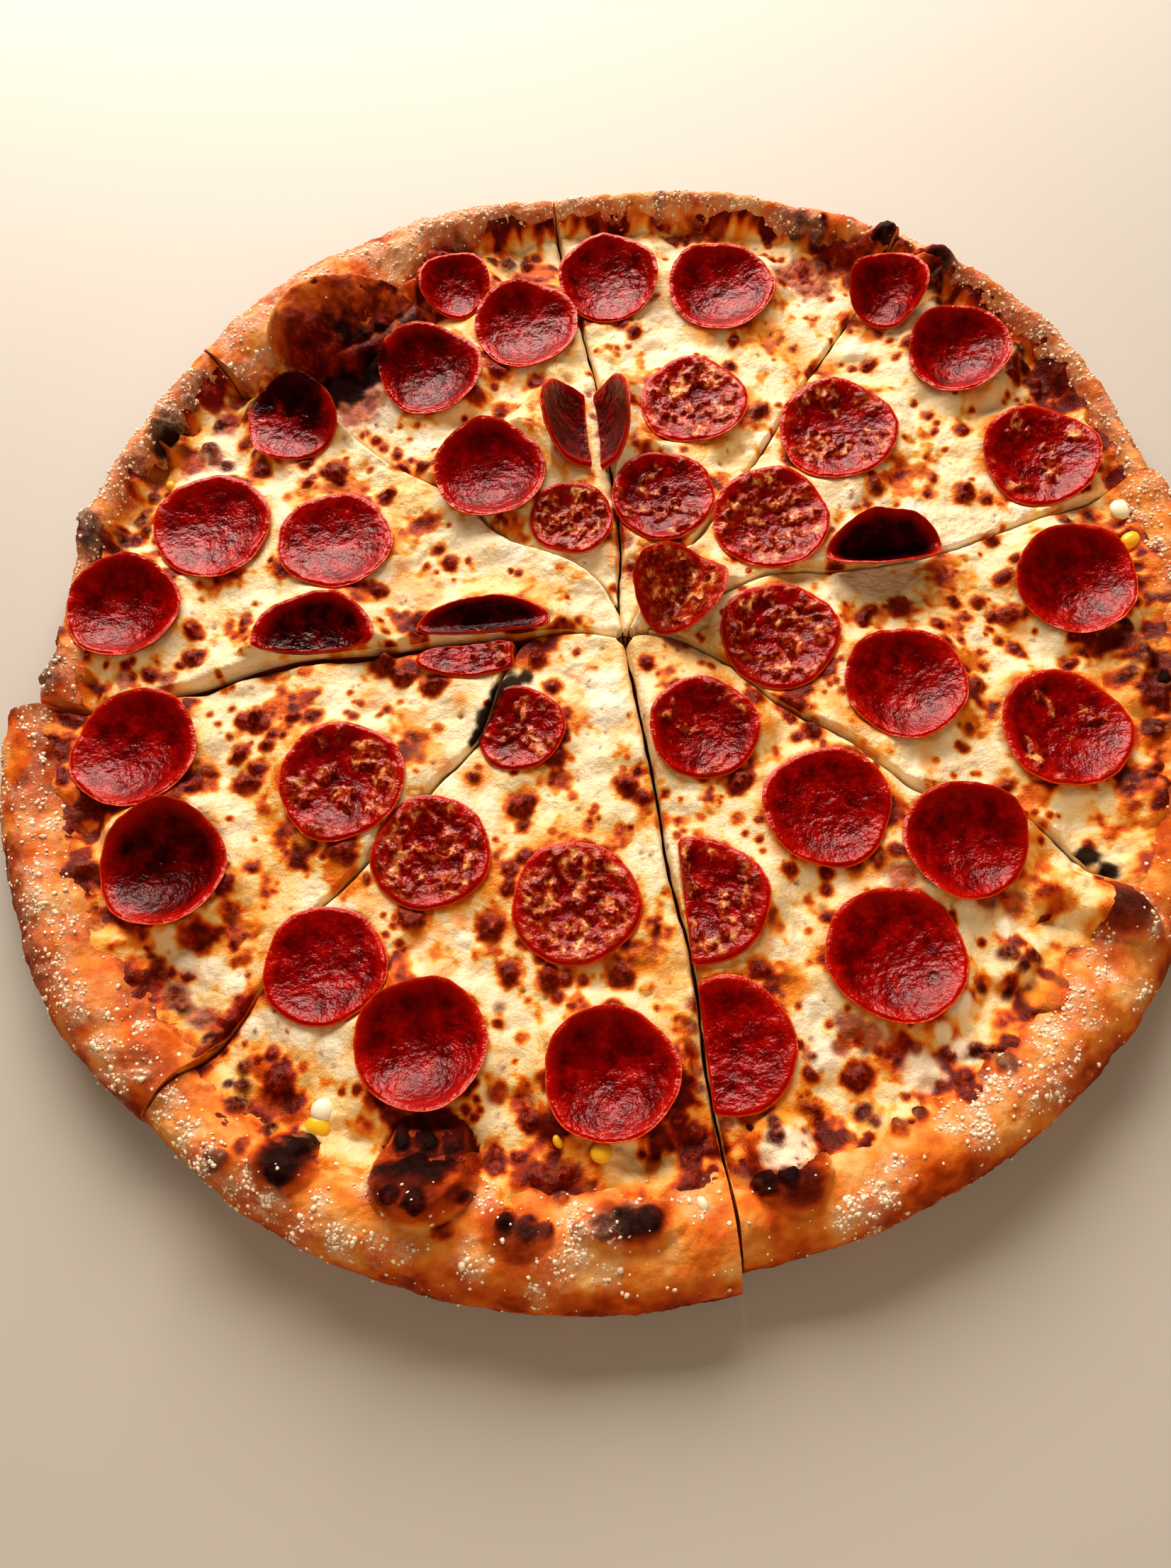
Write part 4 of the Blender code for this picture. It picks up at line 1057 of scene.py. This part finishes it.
def cheese_piece(number, spec, material):
    """One slice's cheese, from its drooping cut edges to where it climbs the rim."""
    tip = TIPS[number] + 0.6
    uu = np.linspace(0, 1, 200)
    inner = rim_value(spec, "outer", uu) - rim_value(spec, "width", uu)
    outer_edge = inner + rim_value(spec, "width", uu) * 0.5
    reach_mid = float(outer_edge.mean())
    levels = int((reach_mid - tip) / CHEESE_PITCH)
    rows = []
    spread = []
    rises = [EDGE_RISE.get((number, cut), 0.0) for cut in spec["cuts"]]
    droops = [DROOP[cut] for cut in spec["cuts"]]
    masks = {key: [] for key in CHEESE_MASKS + ("edge",)}
    for k in range(levels + 1):
        t = k / levels
        r_mid = tip + (reach_mid - tip) * t
        wide = math.radians(float(across(spec, r_mid, 1.0) - across(spec, r_mid, 0.0))) * r_mid
        n = max(3, int(round(wide / CHEESE_PITCH)) + 1)
        near = np.array([0.12, 0.3, 0.55, 0.9, 1.35]) / max(wide, 6)
        u = np.sort(np.concatenate([np.linspace(0, 1, n), near, 1 - near]))
        spread.append(u)
        rim_at = np.interp(u, uu, inner)
        r = tip + (np.interp(u, uu, outer_edge) - tip) * t
        back = bite(r, number, 0, 72, wide)
        fore = bite(r, number, 9, 73, wide)
        x, y = polar(r, across(spec, r, back + (1 - back - fore) * u))
        edge = np.minimum(u, 1 - u) * wide
        z = CHEESE_TOP + 0.8 * ripple(x, y, 38) + 0.5 * ripple(x + 40, y, 17)
        z = z + sample(MAPS["relief"], x, y) + sample(MAPS["crag"], x, y)
        z, ring = mounded(number, x, y, z)
        droop = np.where(u < 0.5, droops[0], droops[1])
        soft = np.clip(edge / (droop * (1 + 0.4 * noise(x, y, 9, 71))), 0, 1)
        least = 0.62 - 0.12 * droop
        soft = least + (1 - least) * np.sqrt(soft * (2 - soft))
        z = BASE_TOP + 0.8 + (z - BASE_TOP - 0.8) * soft
        q = (r - rim_at) / rim_value(spec, "width", u)
        fade = smooth(r, 8, 30) * smooth(q, 0.1, -0.7)
        z = z + fade * (rises[0] * np.exp(-(u * wide / 9) ** 2)
                        + rises[1] * np.exp(-((1 - u) * wide / 9) ** 2))
        bare = np.zeros_like(z)
        if np.any(q > -0.4):
            z, bare = up_the_rim(number, spec, u, q, x, y, z)
        z = np.maximum(seated(x, y, z, 0.2), BASE_TOP + 0.4)
        rows.append(np.stack([x, y, z], 1))
        for key in CHEESE_MASKS:
            masks[key].append(sample(MAPS[key], x, y))
        masks["edge"].append(np.exp(-edge / 1.6))
        wall = 0.84 * bare * smooth(q, -0.45, -0.2)
        toast = np.clip(masks["toast"][-1] + browned(q, x, y, ring), 0, 1)
        masks["toast"][-1] = np.maximum(toast, wall)
        masks["fresh"][-1] = masks["fresh"][-1] * (1 - wall)
    mesh = Patches(*masks)
    mesh.rows(rows, along=spread, **masks)
    low = BASE_TOP - 0.05
    for end, inward in ((0, 1), (-1, -1)):
        upper = np.array([row[end] for row in rows])
        tangent = sideways(upper) * inward
        chain = [upper]
        for v in (0.3, 0.6, 1.0):
            row = at_level(upper, upper[:, 2] + (low - upper[:, 2]) * v)
            wob = noise(np.hypot(upper[:, 0], upper[:, 1]), row[:, 2] + 9 * end, 6, 95)
            bulge = 0.35 * math.sin(math.pi * v) * (1 + wob)
            chain.append(row - tangent * bulge[:, None])
        take = np.array([toast[end] for toast in masks["toast"]])
        mesh.rows(chain, flip=end == 0, toast=[take * 0.6] * 4, edge=1.0)
    bottom = [at_level(row[[0, len(row) // 2, -1]], low) for row in rows[:-1]]
    last = at_level(rows[-1], low)
    mesh.rows(bottom + [last], flip=True)
    mesh.rows([rows[-1], last], toast=0.5)
    mesh.rows([at_level(rows[0], low), rows[0]], toast=0.2)
    obj = mesh.make("slice%d_cheese_look" % number, material)
    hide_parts("slice%d_cheese" % number)
    return obj


def pepperoni_piece(item, material):
    """A cupped slice of pepperoni with a thin curled edge and a wrinkled face."""
    around = 96
    ang = np.linspace(0, 2 * math.pi, around, endpoint=False)
    seed = item["x"] * 0.37 + item["y"] * 0.11
    edge = reach(item, ang)
    edge = edge * (1 + 0.012 * noise(6 * np.cos(ang) + seed, 6 * np.sin(ang), 1.1, 101))
    thick = PEPPERONI_THICK
    want = 0.9 * item["crumbs"]
    values = {key: [] for key in ("rho", "crumbs", "bubble", "shade", "deep")}
    rows = []
    for share in np.concatenate([np.linspace(0.02, 0.9, 20), [0.93, 0.955, 0.972, 0.986, 0.996]]):
        p = edge * share * np.cos(ang)
        q = edge * share * np.sin(ang)
        wrinkle = 0.15 * fbm(p + 40 * seed, q, 4.2, 111, 3, 0.6)
        wrinkle += 0.34 * noise(p + 40 * seed, q, 10, 121)
        wave = 0.6 * noise(p + 20 * seed, q, 7, 151) * smooth(share, 0.6, 1.0)
        top = thick + wave + wrinkle * smooth(share, 1.0, 0.9)
        top = top - 0.6 * thick * smooth(share, 0.92, 1.0)
        inside = smooth(share, 0.97, 0.78)
        zone = smooth(fbm(p + 9 * seed, q + 5 * seed, 10, 131, 3, 0.6), 0.5 - 1.1 * want,
                      0.75 - 1.1 * want) * inside * (want > 0)
        melt = np.maximum(zone * smooth(noise(p + 3 * seed, q, 6, 137), -0.5, 0.1),
                          item["cheesy"] * 1.3 * inside
                          * smooth(noise(p, q + 7 * seed, 9, 139), -0.9, 0.0))
        melt = np.clip(melt, 0, 1)
        bent = 1.5 * noise(p + 8 * seed, q, 4, 149)
        lump = cells(p + 9 * seed + bent, q + bent, 4.6, 6)
        room = np.clip(0.3 + 0.55 * noise(p + 5 * seed, q, 6, 147), 0.05, 0.8)
        dome = np.sqrt(np.clip(1 - (lump / room) ** 2, 0, 1)) * zone
        top = top + 0.7 * melt * (1 + 0.6 * noise(p, q, 3.0, 143)) + 1.3 * dome
        rows.append(place(item, p, q, top))
        bubble = smooth(dome, 0.1, 0.4)
        tone = 0.47 + 0.24 * fbm(p + 3 * seed, q, 6, 141, 3)
        values["rho"].append(np.full(around, share))
        values["crumbs"].append(melt * (1 - bubble))
        values["bubble"].append(bubble)
        # Random tone, with painted shade from dark over the inside of the cup.
        values["shade"].append(tone - 0.45 * item["dark"] * smooth(share, 1.0, 0.7))
        # Painted shadow where a slice lies in a shaded hollow, such as under the big fold.
        values["deep"].append(sample(MAPS["deep"], rows[-1][:, 0], rows[-1][:, 1]))
    for share in (1.0, 0.985, 0.9, 0.6, 0.3, 0.02):
        p = edge * share * np.cos(ang)
        q = edge * share * np.sin(ang)
        wave = 0.6 * noise(p + 20 * seed, q, 7, 151) * smooth(share, 0.6, 1.0)
        rows.append(place(item, p, q, wave + (0.25 * thick if share == 1 else 0.0)))
        plain = dict(rho=share if share > 0.9 else 0.5, shade=0.6)
        for key, bucket in values.items():
            bucket.append(np.full(around, plain.get(key, 0.0)))
    mesh = Patches(*values)
    closed = [np.concatenate([row, row[:1]]) for row in rows]
    shut = {key: [np.concatenate([v, v[:1]]) for v in bucket] for key, bucket in values.items()}
    index = mesh.rows(closed, **shut)
    for ring, flip in ((index[0], True), (index[-1], False)):
        middle = np.mean(np.concatenate(mesh.points)[ring[:-1]], 0)
        hub = mesh.rows([middle[None, :]], rho=0.0 if flip else 0.5, shade=0.5)[0]
        fan = np.stack([ring[:-1], ring[1:], np.full(around, hub[0])], 1)
        mesh.faces.append(fan[:, ::-1] if flip else fan)
    name = "slice%s_pepperoni_%s" % (item["tag"][0], item["tag"][1])
    obj = mesh.make(name + "_look", material)
    weld(obj)
    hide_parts(name)
    return obj


def weld(obj):
    bm = bmesh.new()
    bm.from_mesh(obj.data)
    bmesh.ops.remove_doubles(bm, verts=bm.verts, dist=1e-6)
    bmesh.ops.recalc_face_normals(bm, faces=bm.faces)
    bm.to_mesh(obj.data)
    bm.free()
    obj.data.shade_smooth()


def sphere(levels):
    """Points and triangles of a ball of radius 1."""
    bm = bmesh.new()
    bmesh.ops.create_icosphere(bm, subdivisions=levels, radius=1.0)
    points = np.array([v.co[:] for v in bm.verts])
    faces = np.array([[v.index for v in f.verts] for f in bm.faces])
    bm.free()
    return points, faces


def scatter(name, centres, sizes, normals, material, levels, rough, seed):
    """Many small lumps joined in one mesh."""
    ball, tri = sphere(levels)
    rng = np.random.default_rng(seed)
    points = []
    faces = []
    for k, (c, size, n) in enumerate(zip(centres, sizes, normals)):
        squash = np.array([rng.uniform(0.75, 1.3), rng.uniform(0.7, 1.2), rng.uniform(0.5, 0.75)])
        lump = ball * squash * (1 + rough * rng.uniform(-1, 1, (len(ball), 1)))
        turn = Vector(n).to_track_quat("Z", "X").to_matrix()
        turn = turn @ Matrix.Rotation(rng.uniform(0, 6.28), 3, "Z")
        lump = lump @ np.array(turn).T
        points.append(c + size * lump)
        faces.append(tri + k * len(ball))
    return make_mesh(name, np.concatenate(points), np.concatenate(faces), material)


# Grains of meal on each slice's rim.
GRAINS = 880


def cornmeal(material):
    """Grains of meal and flour clinging to the outer crust."""
    rng = np.random.default_rng(12)
    centres = []
    normals = []
    sizes = []
    for points, normal, flour, s in GRAIN_BEDS:
        rows, cols = flour.shape
        wish = 0
        while wish < GRAINS:
            i = rng.integers(1, rows - 1)
            j = rng.integers(1, cols - 1)
            share = flour[i, j] ** 1.6 + 0.015
            if not 0.2 < s[i, j] < 0.9 or rng.random() > share:
                continue
            wish += 1
            centres.append(points[i, j] + rng.uniform(-0.5, 0.5, 3) * (1, 1, 0.3))
            normals.append(normal[i, j])
            sizes.append(0.2 + 0.35 * rng.random() + 0.6 * rng.random() ** 7)
    return scatter("cornmeal", centres, sizes, normals, material, 1, 0.22, 3)


def surface_height(x, y):
    """Height of the pieces already made, under a point."""
    hit, where, *rest = bpy.context.scene.ray_cast(
        bpy.context.evaluated_depsgraph_get(), Vector(((x + JUNCTION[0]) / 1000,
                                                       (y + JUNCTION[1]) / 1000, 0.2)),
        Vector((0, 0, -1)))
    return where.z * 1000 if hit else CHEESE_TOP


def curds(materials):
    """The white and the yellow curds, each kind joined in one mesh."""
    for kind in (0, 1):
        centres = []
        sizes = []
        for px, py, radius, colour in CURDS:
            if colour != kind:
                continue
            x, y, mm = seen(px, py, 14.0)
            centres.append(np.array([x, y, surface_height(x, y) - 0.05 * radius]))
            sizes.append(radius)
        normals = [(0, 0, 1)] * len(centres)
        scatter("curds_%d" % kind, centres, sizes, normals, materials[kind], 3, 0.02, 7)


# Materials

def linear(r, g, b):
    out = []
    for c in (r, g, b):
        c = c / 255
        out.append(c / 12.92 if c <= 0.04045 else ((c + 0.055) / 1.055) ** 2.4)
    return (*out, 1.0)


class Shader:
    """A small helper for building a material's nodes."""

    def __init__(self, name):
        self.mat = bpy.data.materials.new(name)
        self.mat.use_nodes = True
        self.tree = self.mat.node_tree
        self.bsdf = self.tree.nodes["Principled BSDF"]
        coord = self.tree.nodes.new("ShaderNodeTexCoord")
        self.coord = coord.outputs["Object"]

    def link(self, a, b):
        self.tree.links.new(a, b)

    def attr(self, name):
        node = self.tree.nodes.new("ShaderNodeAttribute")
        node.attribute_type = "GEOMETRY"
        node.attribute_name = name
        return node.outputs["Fac"]

    def noise(self, mm, detail=4.0, rough=0.55):
        node = self.tree.nodes.new("ShaderNodeTexNoise")
        node.inputs["Scale"].default_value = 1000.0 / mm
        node.inputs["Detail"].default_value = detail
        node.inputs["Roughness"].default_value = rough
        self.link(self.coord, node.inputs["Vector"])
        return node.outputs["Fac"]

    def range(self, value, low, high, to_low=0.0, to_high=1.0):
        node = self.tree.nodes.new("ShaderNodeMapRange")
        node.interpolation_type = "SMOOTHSTEP"
        node.inputs["From Min"].default_value = low
        node.inputs["From Max"].default_value = high
        node.inputs["To Min"].default_value = to_low
        node.inputs["To Max"].default_value = to_high
        self.link(value, node.inputs["Value"])
        return node.outputs["Result"]

    def math(self, op, a, b, clamp=False):
        node = self.tree.nodes.new("ShaderNodeMath")
        node.operation = op
        node.use_clamp = clamp
        for socket, value in ((node.inputs[0], a), (node.inputs[1], b)):
            if isinstance(value, (int, float)):
                socket.default_value = value
            else:
                self.link(value, socket)
        return node.outputs[0]

    def times(self, a, b):
        return self.math("MULTIPLY", a, b)

    def plus(self, a, b):
        return self.math("ADD", a, b)

    def swing(self, share, mm, detail, rough):
        """Noise that swings up and down about zero."""
        return self.times(self.math("SUBTRACT", self.noise(mm, detail, rough), 0.5), share)

    def tint(self, colour, name, share, other):
        """Mix in another colour where a mask is high."""
        return self.mix(self.times(self.attr(name), share), colour, other)

    def ramp(self, value, stops):
        node = self.tree.nodes.new("ShaderNodeValToRGB")
        ramp = node.color_ramp
        while len(ramp.elements) < len(stops):
            ramp.elements.new(0.5)
        for element, (place_at, colour) in zip(ramp.elements, stops):
            element.position = place_at
            element.color = linear(*colour)
        self.link(value, node.inputs["Fac"])
        return node.outputs["Color"]

    def mix(self, factor, a, b):
        node = self.tree.nodes.new("ShaderNodeMix")
        node.data_type = "RGBA"
        self.link(factor, node.inputs[0])
        for socket, value in ((node.inputs[6], a), (node.inputs[7], b)):
            if isinstance(value, tuple):
                socket.default_value = linear(*value)
            else:
                self.link(value, socket)
        return node.outputs[2]

    def bump(self, height, strength, distance_mm):
        node = self.tree.nodes.new("ShaderNodeBump")
        node.inputs["Strength"].default_value = strength
        node.inputs["Distance"].default_value = distance_mm * 0.001
        self.link(height, node.inputs["Height"])
        self.link(node.outputs["Normal"], self.bsdf.inputs["Normal"])

    def set(self, **values):
        for key, value in values.items():
            socket = self.bsdf.inputs[key.replace("_", " ")]
            if isinstance(value, (int, float, tuple)):
                socket.default_value = value
            else:
                self.link(value, socket)


def crust_material():
    s = Shader("baked_crust")
    tone = s.plus(s.attr("brown"), s.swing(0.6, 7.0, 6, 0.65))
    burn = s.times(s.attr("char"), s.range(s.noise(2.5, 4), 0.25, 0.6, 0.5, 1.0))
    tone = s.times(s.plus(tone, s.times(burn, 0.62)), 0.7)
    colour = s.ramp(tone, ((0.0, (246, 200, 136)), (0.2, (234, 152, 68)), (0.38, (212, 104, 28)),
                           (0.55, (158, 64, 18)), (0.74, (98, 28, 9)), (1.0, (46, 11, 5))))
    milk = s.times(s.attr("cheesy"), s.range(s.noise(4.5, 5, 0.6), 0.4, 0.65))
    colour = s.mix(s.times(milk, 0.7), colour, (248, 206, 140))
    colour = s.tint(colour, "crumb", 0.8, (226, 164, 98))
    red = s.ramp(s.noise(3.5, 4, 0.6), ((0.3, (84, 12, 5)), (0.55, (140, 32, 11)),
                                        (0.75, (200, 92, 40))))
    colour = s.tint(colour, "sauce", 0.85, red)
    film = s.times(s.attr("flour"), s.range(s.noise(9.0, 5, 0.7), 0.3, 0.7, 0.42, 0.85))
    colour = s.mix(film, colour, (228, 190, 164))
    dust = s.times(s.attr("flour"), s.range(s.noise(1.1, 5, 0.75), 0.52, 0.66))
    colour = s.mix(s.times(dust, 0.85), colour, (250, 232, 210))
    # Painted shadow: near black over the hollows in shade.
    colour = s.tint(colour, "deep", 0.9, (46, 7, 3))
    s.set(Base_Color=colour, Roughness=s.range(burn, 0.0, 1.0, 0.66, 0.5), Specular_IOR_Level=0.18,
          Subsurface_Weight=0.1, Subsurface_Scale=0.0015, Subsurface_Radius=(1.0, 0.5, 0.25))
    s.bump(s.plus(s.times(s.noise(1.3, 5, 0.7), 0.8), s.times(s.noise(4.0, 3), 0.6)), 0.75, 0.9)
    return s.mat


def cheese_material():
    s = Shader("melted_cheese")
    toast = s.plus(s.attr("toast"), s.swing(0.5, 5, 6, 0.62))
    colour = s.ramp(toast, ((0.0, (252, 234, 202)), (0.28, (249, 218, 162)),
                            (0.46, (242, 176, 78)), (0.66, (222, 112, 26)),
                            (0.84, (168, 60, 12)), (1.0, (110, 28, 7))))
    colour = s.tint(colour, "oil", 0.62, (244, 158, 40))
    colour = s.tint(colour, "fresh", 0.7, (253, 241, 222))
    red = s.ramp(s.noise(3.5, 4, 0.6), ((0.3, (108, 14, 3)), (0.55, (170, 40, 8)),
                                        (0.75, (224, 112, 36))))
    colour = s.tint(colour, "sauce", 0.8, red)
    dark = s.ramp(s.noise(2.0, 4, 0.65), ((0.35, (84, 13, 4)), (0.55, (142, 40, 10)),
                                          (0.72, (206, 96, 34))))
    colour = s.tint(colour, "blister", 0.95, dark)
    burnt = s.ramp(s.noise(2.6, 4, 0.6), ((0.35, (62, 14, 7)), (0.52, (112, 38, 15)),
                                          (0.7, (184, 98, 44))))
    colour = s.mix(s.attr("char"), colour, burnt)
    colour = s.tint(colour, "pit", 0.7, (140, 66, 36))
    # Painted shadow: near black over the hollows in shade.
    colour = s.tint(colour, "deep", 0.97, (34, 3, 2))
    gloss = s.range(s.attr("blister"), 0.0, 1.0, 0.34, 0.22)
    gloss = s.math("ADD", gloss, s.times(s.attr("deep"), 0.7), True)
    s.set(Base_Color=colour, Roughness=gloss, Subsurface_Weight=0.25, Subsurface_Scale=0.003,
          Subsurface_Radius=(1.0, 0.5, 0.2), Specular_IOR_Level=0.38)
    s.bump(s.plus(s.noise(1.5, 5, 0.65), s.noise(4.0, 3)), 0.7, 1.0)
    return s.mat


def pepperoni_material():
    s = Shader("cured_pepperoni")
    # The tone holds random tone and the painted shade inside the cups.
    tone = s.plus(s.attr("shade"), s.swing(0.75, 1.8, 5, 0.65))
    colour = s.ramp(tone, ((0.0, (58, 1, 1)), (0.3, (110, 3, 1)), (0.55, (150, 8, 2)),
                           (0.8, (190, 28, 8)), (1.0, (214, 68, 26))))
    wall = s.range(s.attr("rho"), 0.72, 0.94)
    colour = s.mix(s.times(wall, 0.5), colour, (208, 36, 7))
    # A bright orange edge all round: partly the thin edge's own colour, partly painted glow of
    # light shining through it.
    rim = s.range(s.attr("rho"), 0.962, 0.99)
    colour = s.mix(s.times(rim, 0.75), colour, (226, 96, 32))
    melt = s.ramp(s.noise(3.2, 5, 0.6), ((0.36, (134, 20, 7)), (0.5, (190, 76, 28)),
                                         (0.62, (244, 190, 128))))
    colour = s.mix(s.attr("crumbs"), colour, melt)
    dark = s.ramp(s.noise(1.6, 4, 0.65), ((0.35, (96, 12, 4)), (0.52, (150, 40, 12)),
                                          (0.7, (214, 120, 64))))
    colour = s.mix(s.attr("bubble"), colour, dark)
    # Painted shadow: near black where the slice lies in a shaded hollow.
    colour = s.tint(colour, "deep", 0.85, (26, 1, 1))
    s.set(Base_Color=colour, Roughness=s.range(s.noise(5, 3), 0.3, 0.7, 0.11, 0.25),
          Subsurface_Weight=0.06, Subsurface_Scale=0.0015, Subsurface_Radius=(1.0, 0.1, 0.03),
          Specular_IOR_Level=0.42)
    s.bump(s.plus(s.times(s.noise(1.4, 4, 0.6), 0.6), s.times(s.noise(3.6, 3), 1.6)), 0.55, 1.1)
    return s.mat


def plain_material(name, colour, rough, glow):
    s = Shader(name)
    s.set(Base_Color=linear(*colour), Roughness=rough, Subsurface_Weight=glow,
          Subsurface_Scale=0.002, Subsurface_Radius=(1.0, 0.7, 0.3))
    return s.mat


# Build

crust_mat = crust_material()
cheese_mat = cheese_material()
pepperoni_mat = pepperoni_material()
for number, spec in SLICES.items():
    crust_piece(number, spec, crust_mat)
    cheese_piece(number, spec, cheese_mat)
for item in PEPPERONI:
    pepperoni_piece(item, pepperoni_mat)
cornmeal(plain_material("meal", (250, 232, 208), 0.8, 0.0))
curds((plain_material("curd_white", (252, 240, 214), 0.35, 0.3),
       plain_material("curd_yellow", (252, 200, 66), 0.25, 0.4)))

# Floor, light and camera

floor_mesh = bpy.data.meshes.new("floor")
floor_mesh.from_pydata([(-4, -4, 0), (4, -4, 0), (4, 4, 0), (-4, 4, 0)], [], [(0, 1, 2, 3)])
floor_mesh.materials.append(plain_material("pale_floor", (202, 197, 190), 0.7, 0.0))
floor = bpy.data.objects.new("floor", floor_mesh)
floor.location.z = -0.0003
bpy.context.scene.collection.objects.link(floor)
floor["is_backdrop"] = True


def area_light(name, place_at, target, size, energy, colour):
    light = bpy.data.lights.new(name, "AREA")
    light.shape = "RECTANGLE"
    light.size = size[0]
    light.size_y = size[1]
    light.energy = energy
    light.color = colour
    obj = bpy.data.objects.new(name, light)
    obj.location = place_at
    way = Vector(target) - Vector(place_at)
    obj.rotation_euler = way.to_track_quat("-Z", "Y").to_euler()
    bpy.context.scene.collection.objects.link(obj)
    return obj


area_light("window", (-0.12, 1.15, 0.78), (0, 0.02, 0), (1.3, 0.8), 25.5, (1.0, 0.92, 0.85))
fill = area_light("fill", (0.1, -1.0, 0.9), (0, 0, 0), (1.2, 1.0), 5.2, (1.0, 0.82, 0.6))
fill.visible_glossy = False

world = bpy.data.worlds.new("room")
world.use_nodes = True
world.node_tree.nodes["Background"].inputs["Color"].default_value = (1.0, 0.84, 0.68, 1.0)
world.node_tree.nodes["Background"].inputs["Strength"].default_value = 0.12
world.cycles_visibility.glossy = False
bpy.context.scene.world = world

# Where the lens stands, in metres of the shared frame.
LENS_AT = (-0.0143, -0.1922, 0.3365)

camera = bpy.data.cameras.new("camera")
camera.sensor_width = 36.0
camera.lens = FOCAL * camera.sensor_width / FRAME[1]
camera.clip_start = 0.01
camera.clip_end = 20.0
cam = bpy.data.objects.new("camera", camera)
right = Vector(CAMERA_RIGHT)
up = Vector(CAMERA_UP)
turn = Matrix((right, up, right.cross(up))).transposed().to_4x4()
cam.matrix_world = Matrix.Translation(LENS_AT) @ turn
bpy.context.scene.collection.objects.link(cam)
bpy.context.scene.camera = cam

bpy.context.scene.view_settings.view_transform = "Standard"
bpy.context.scene.view_settings.look = "High Contrast"

total = sum(len(o.data.polygons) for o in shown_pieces())
print("triangles", total)
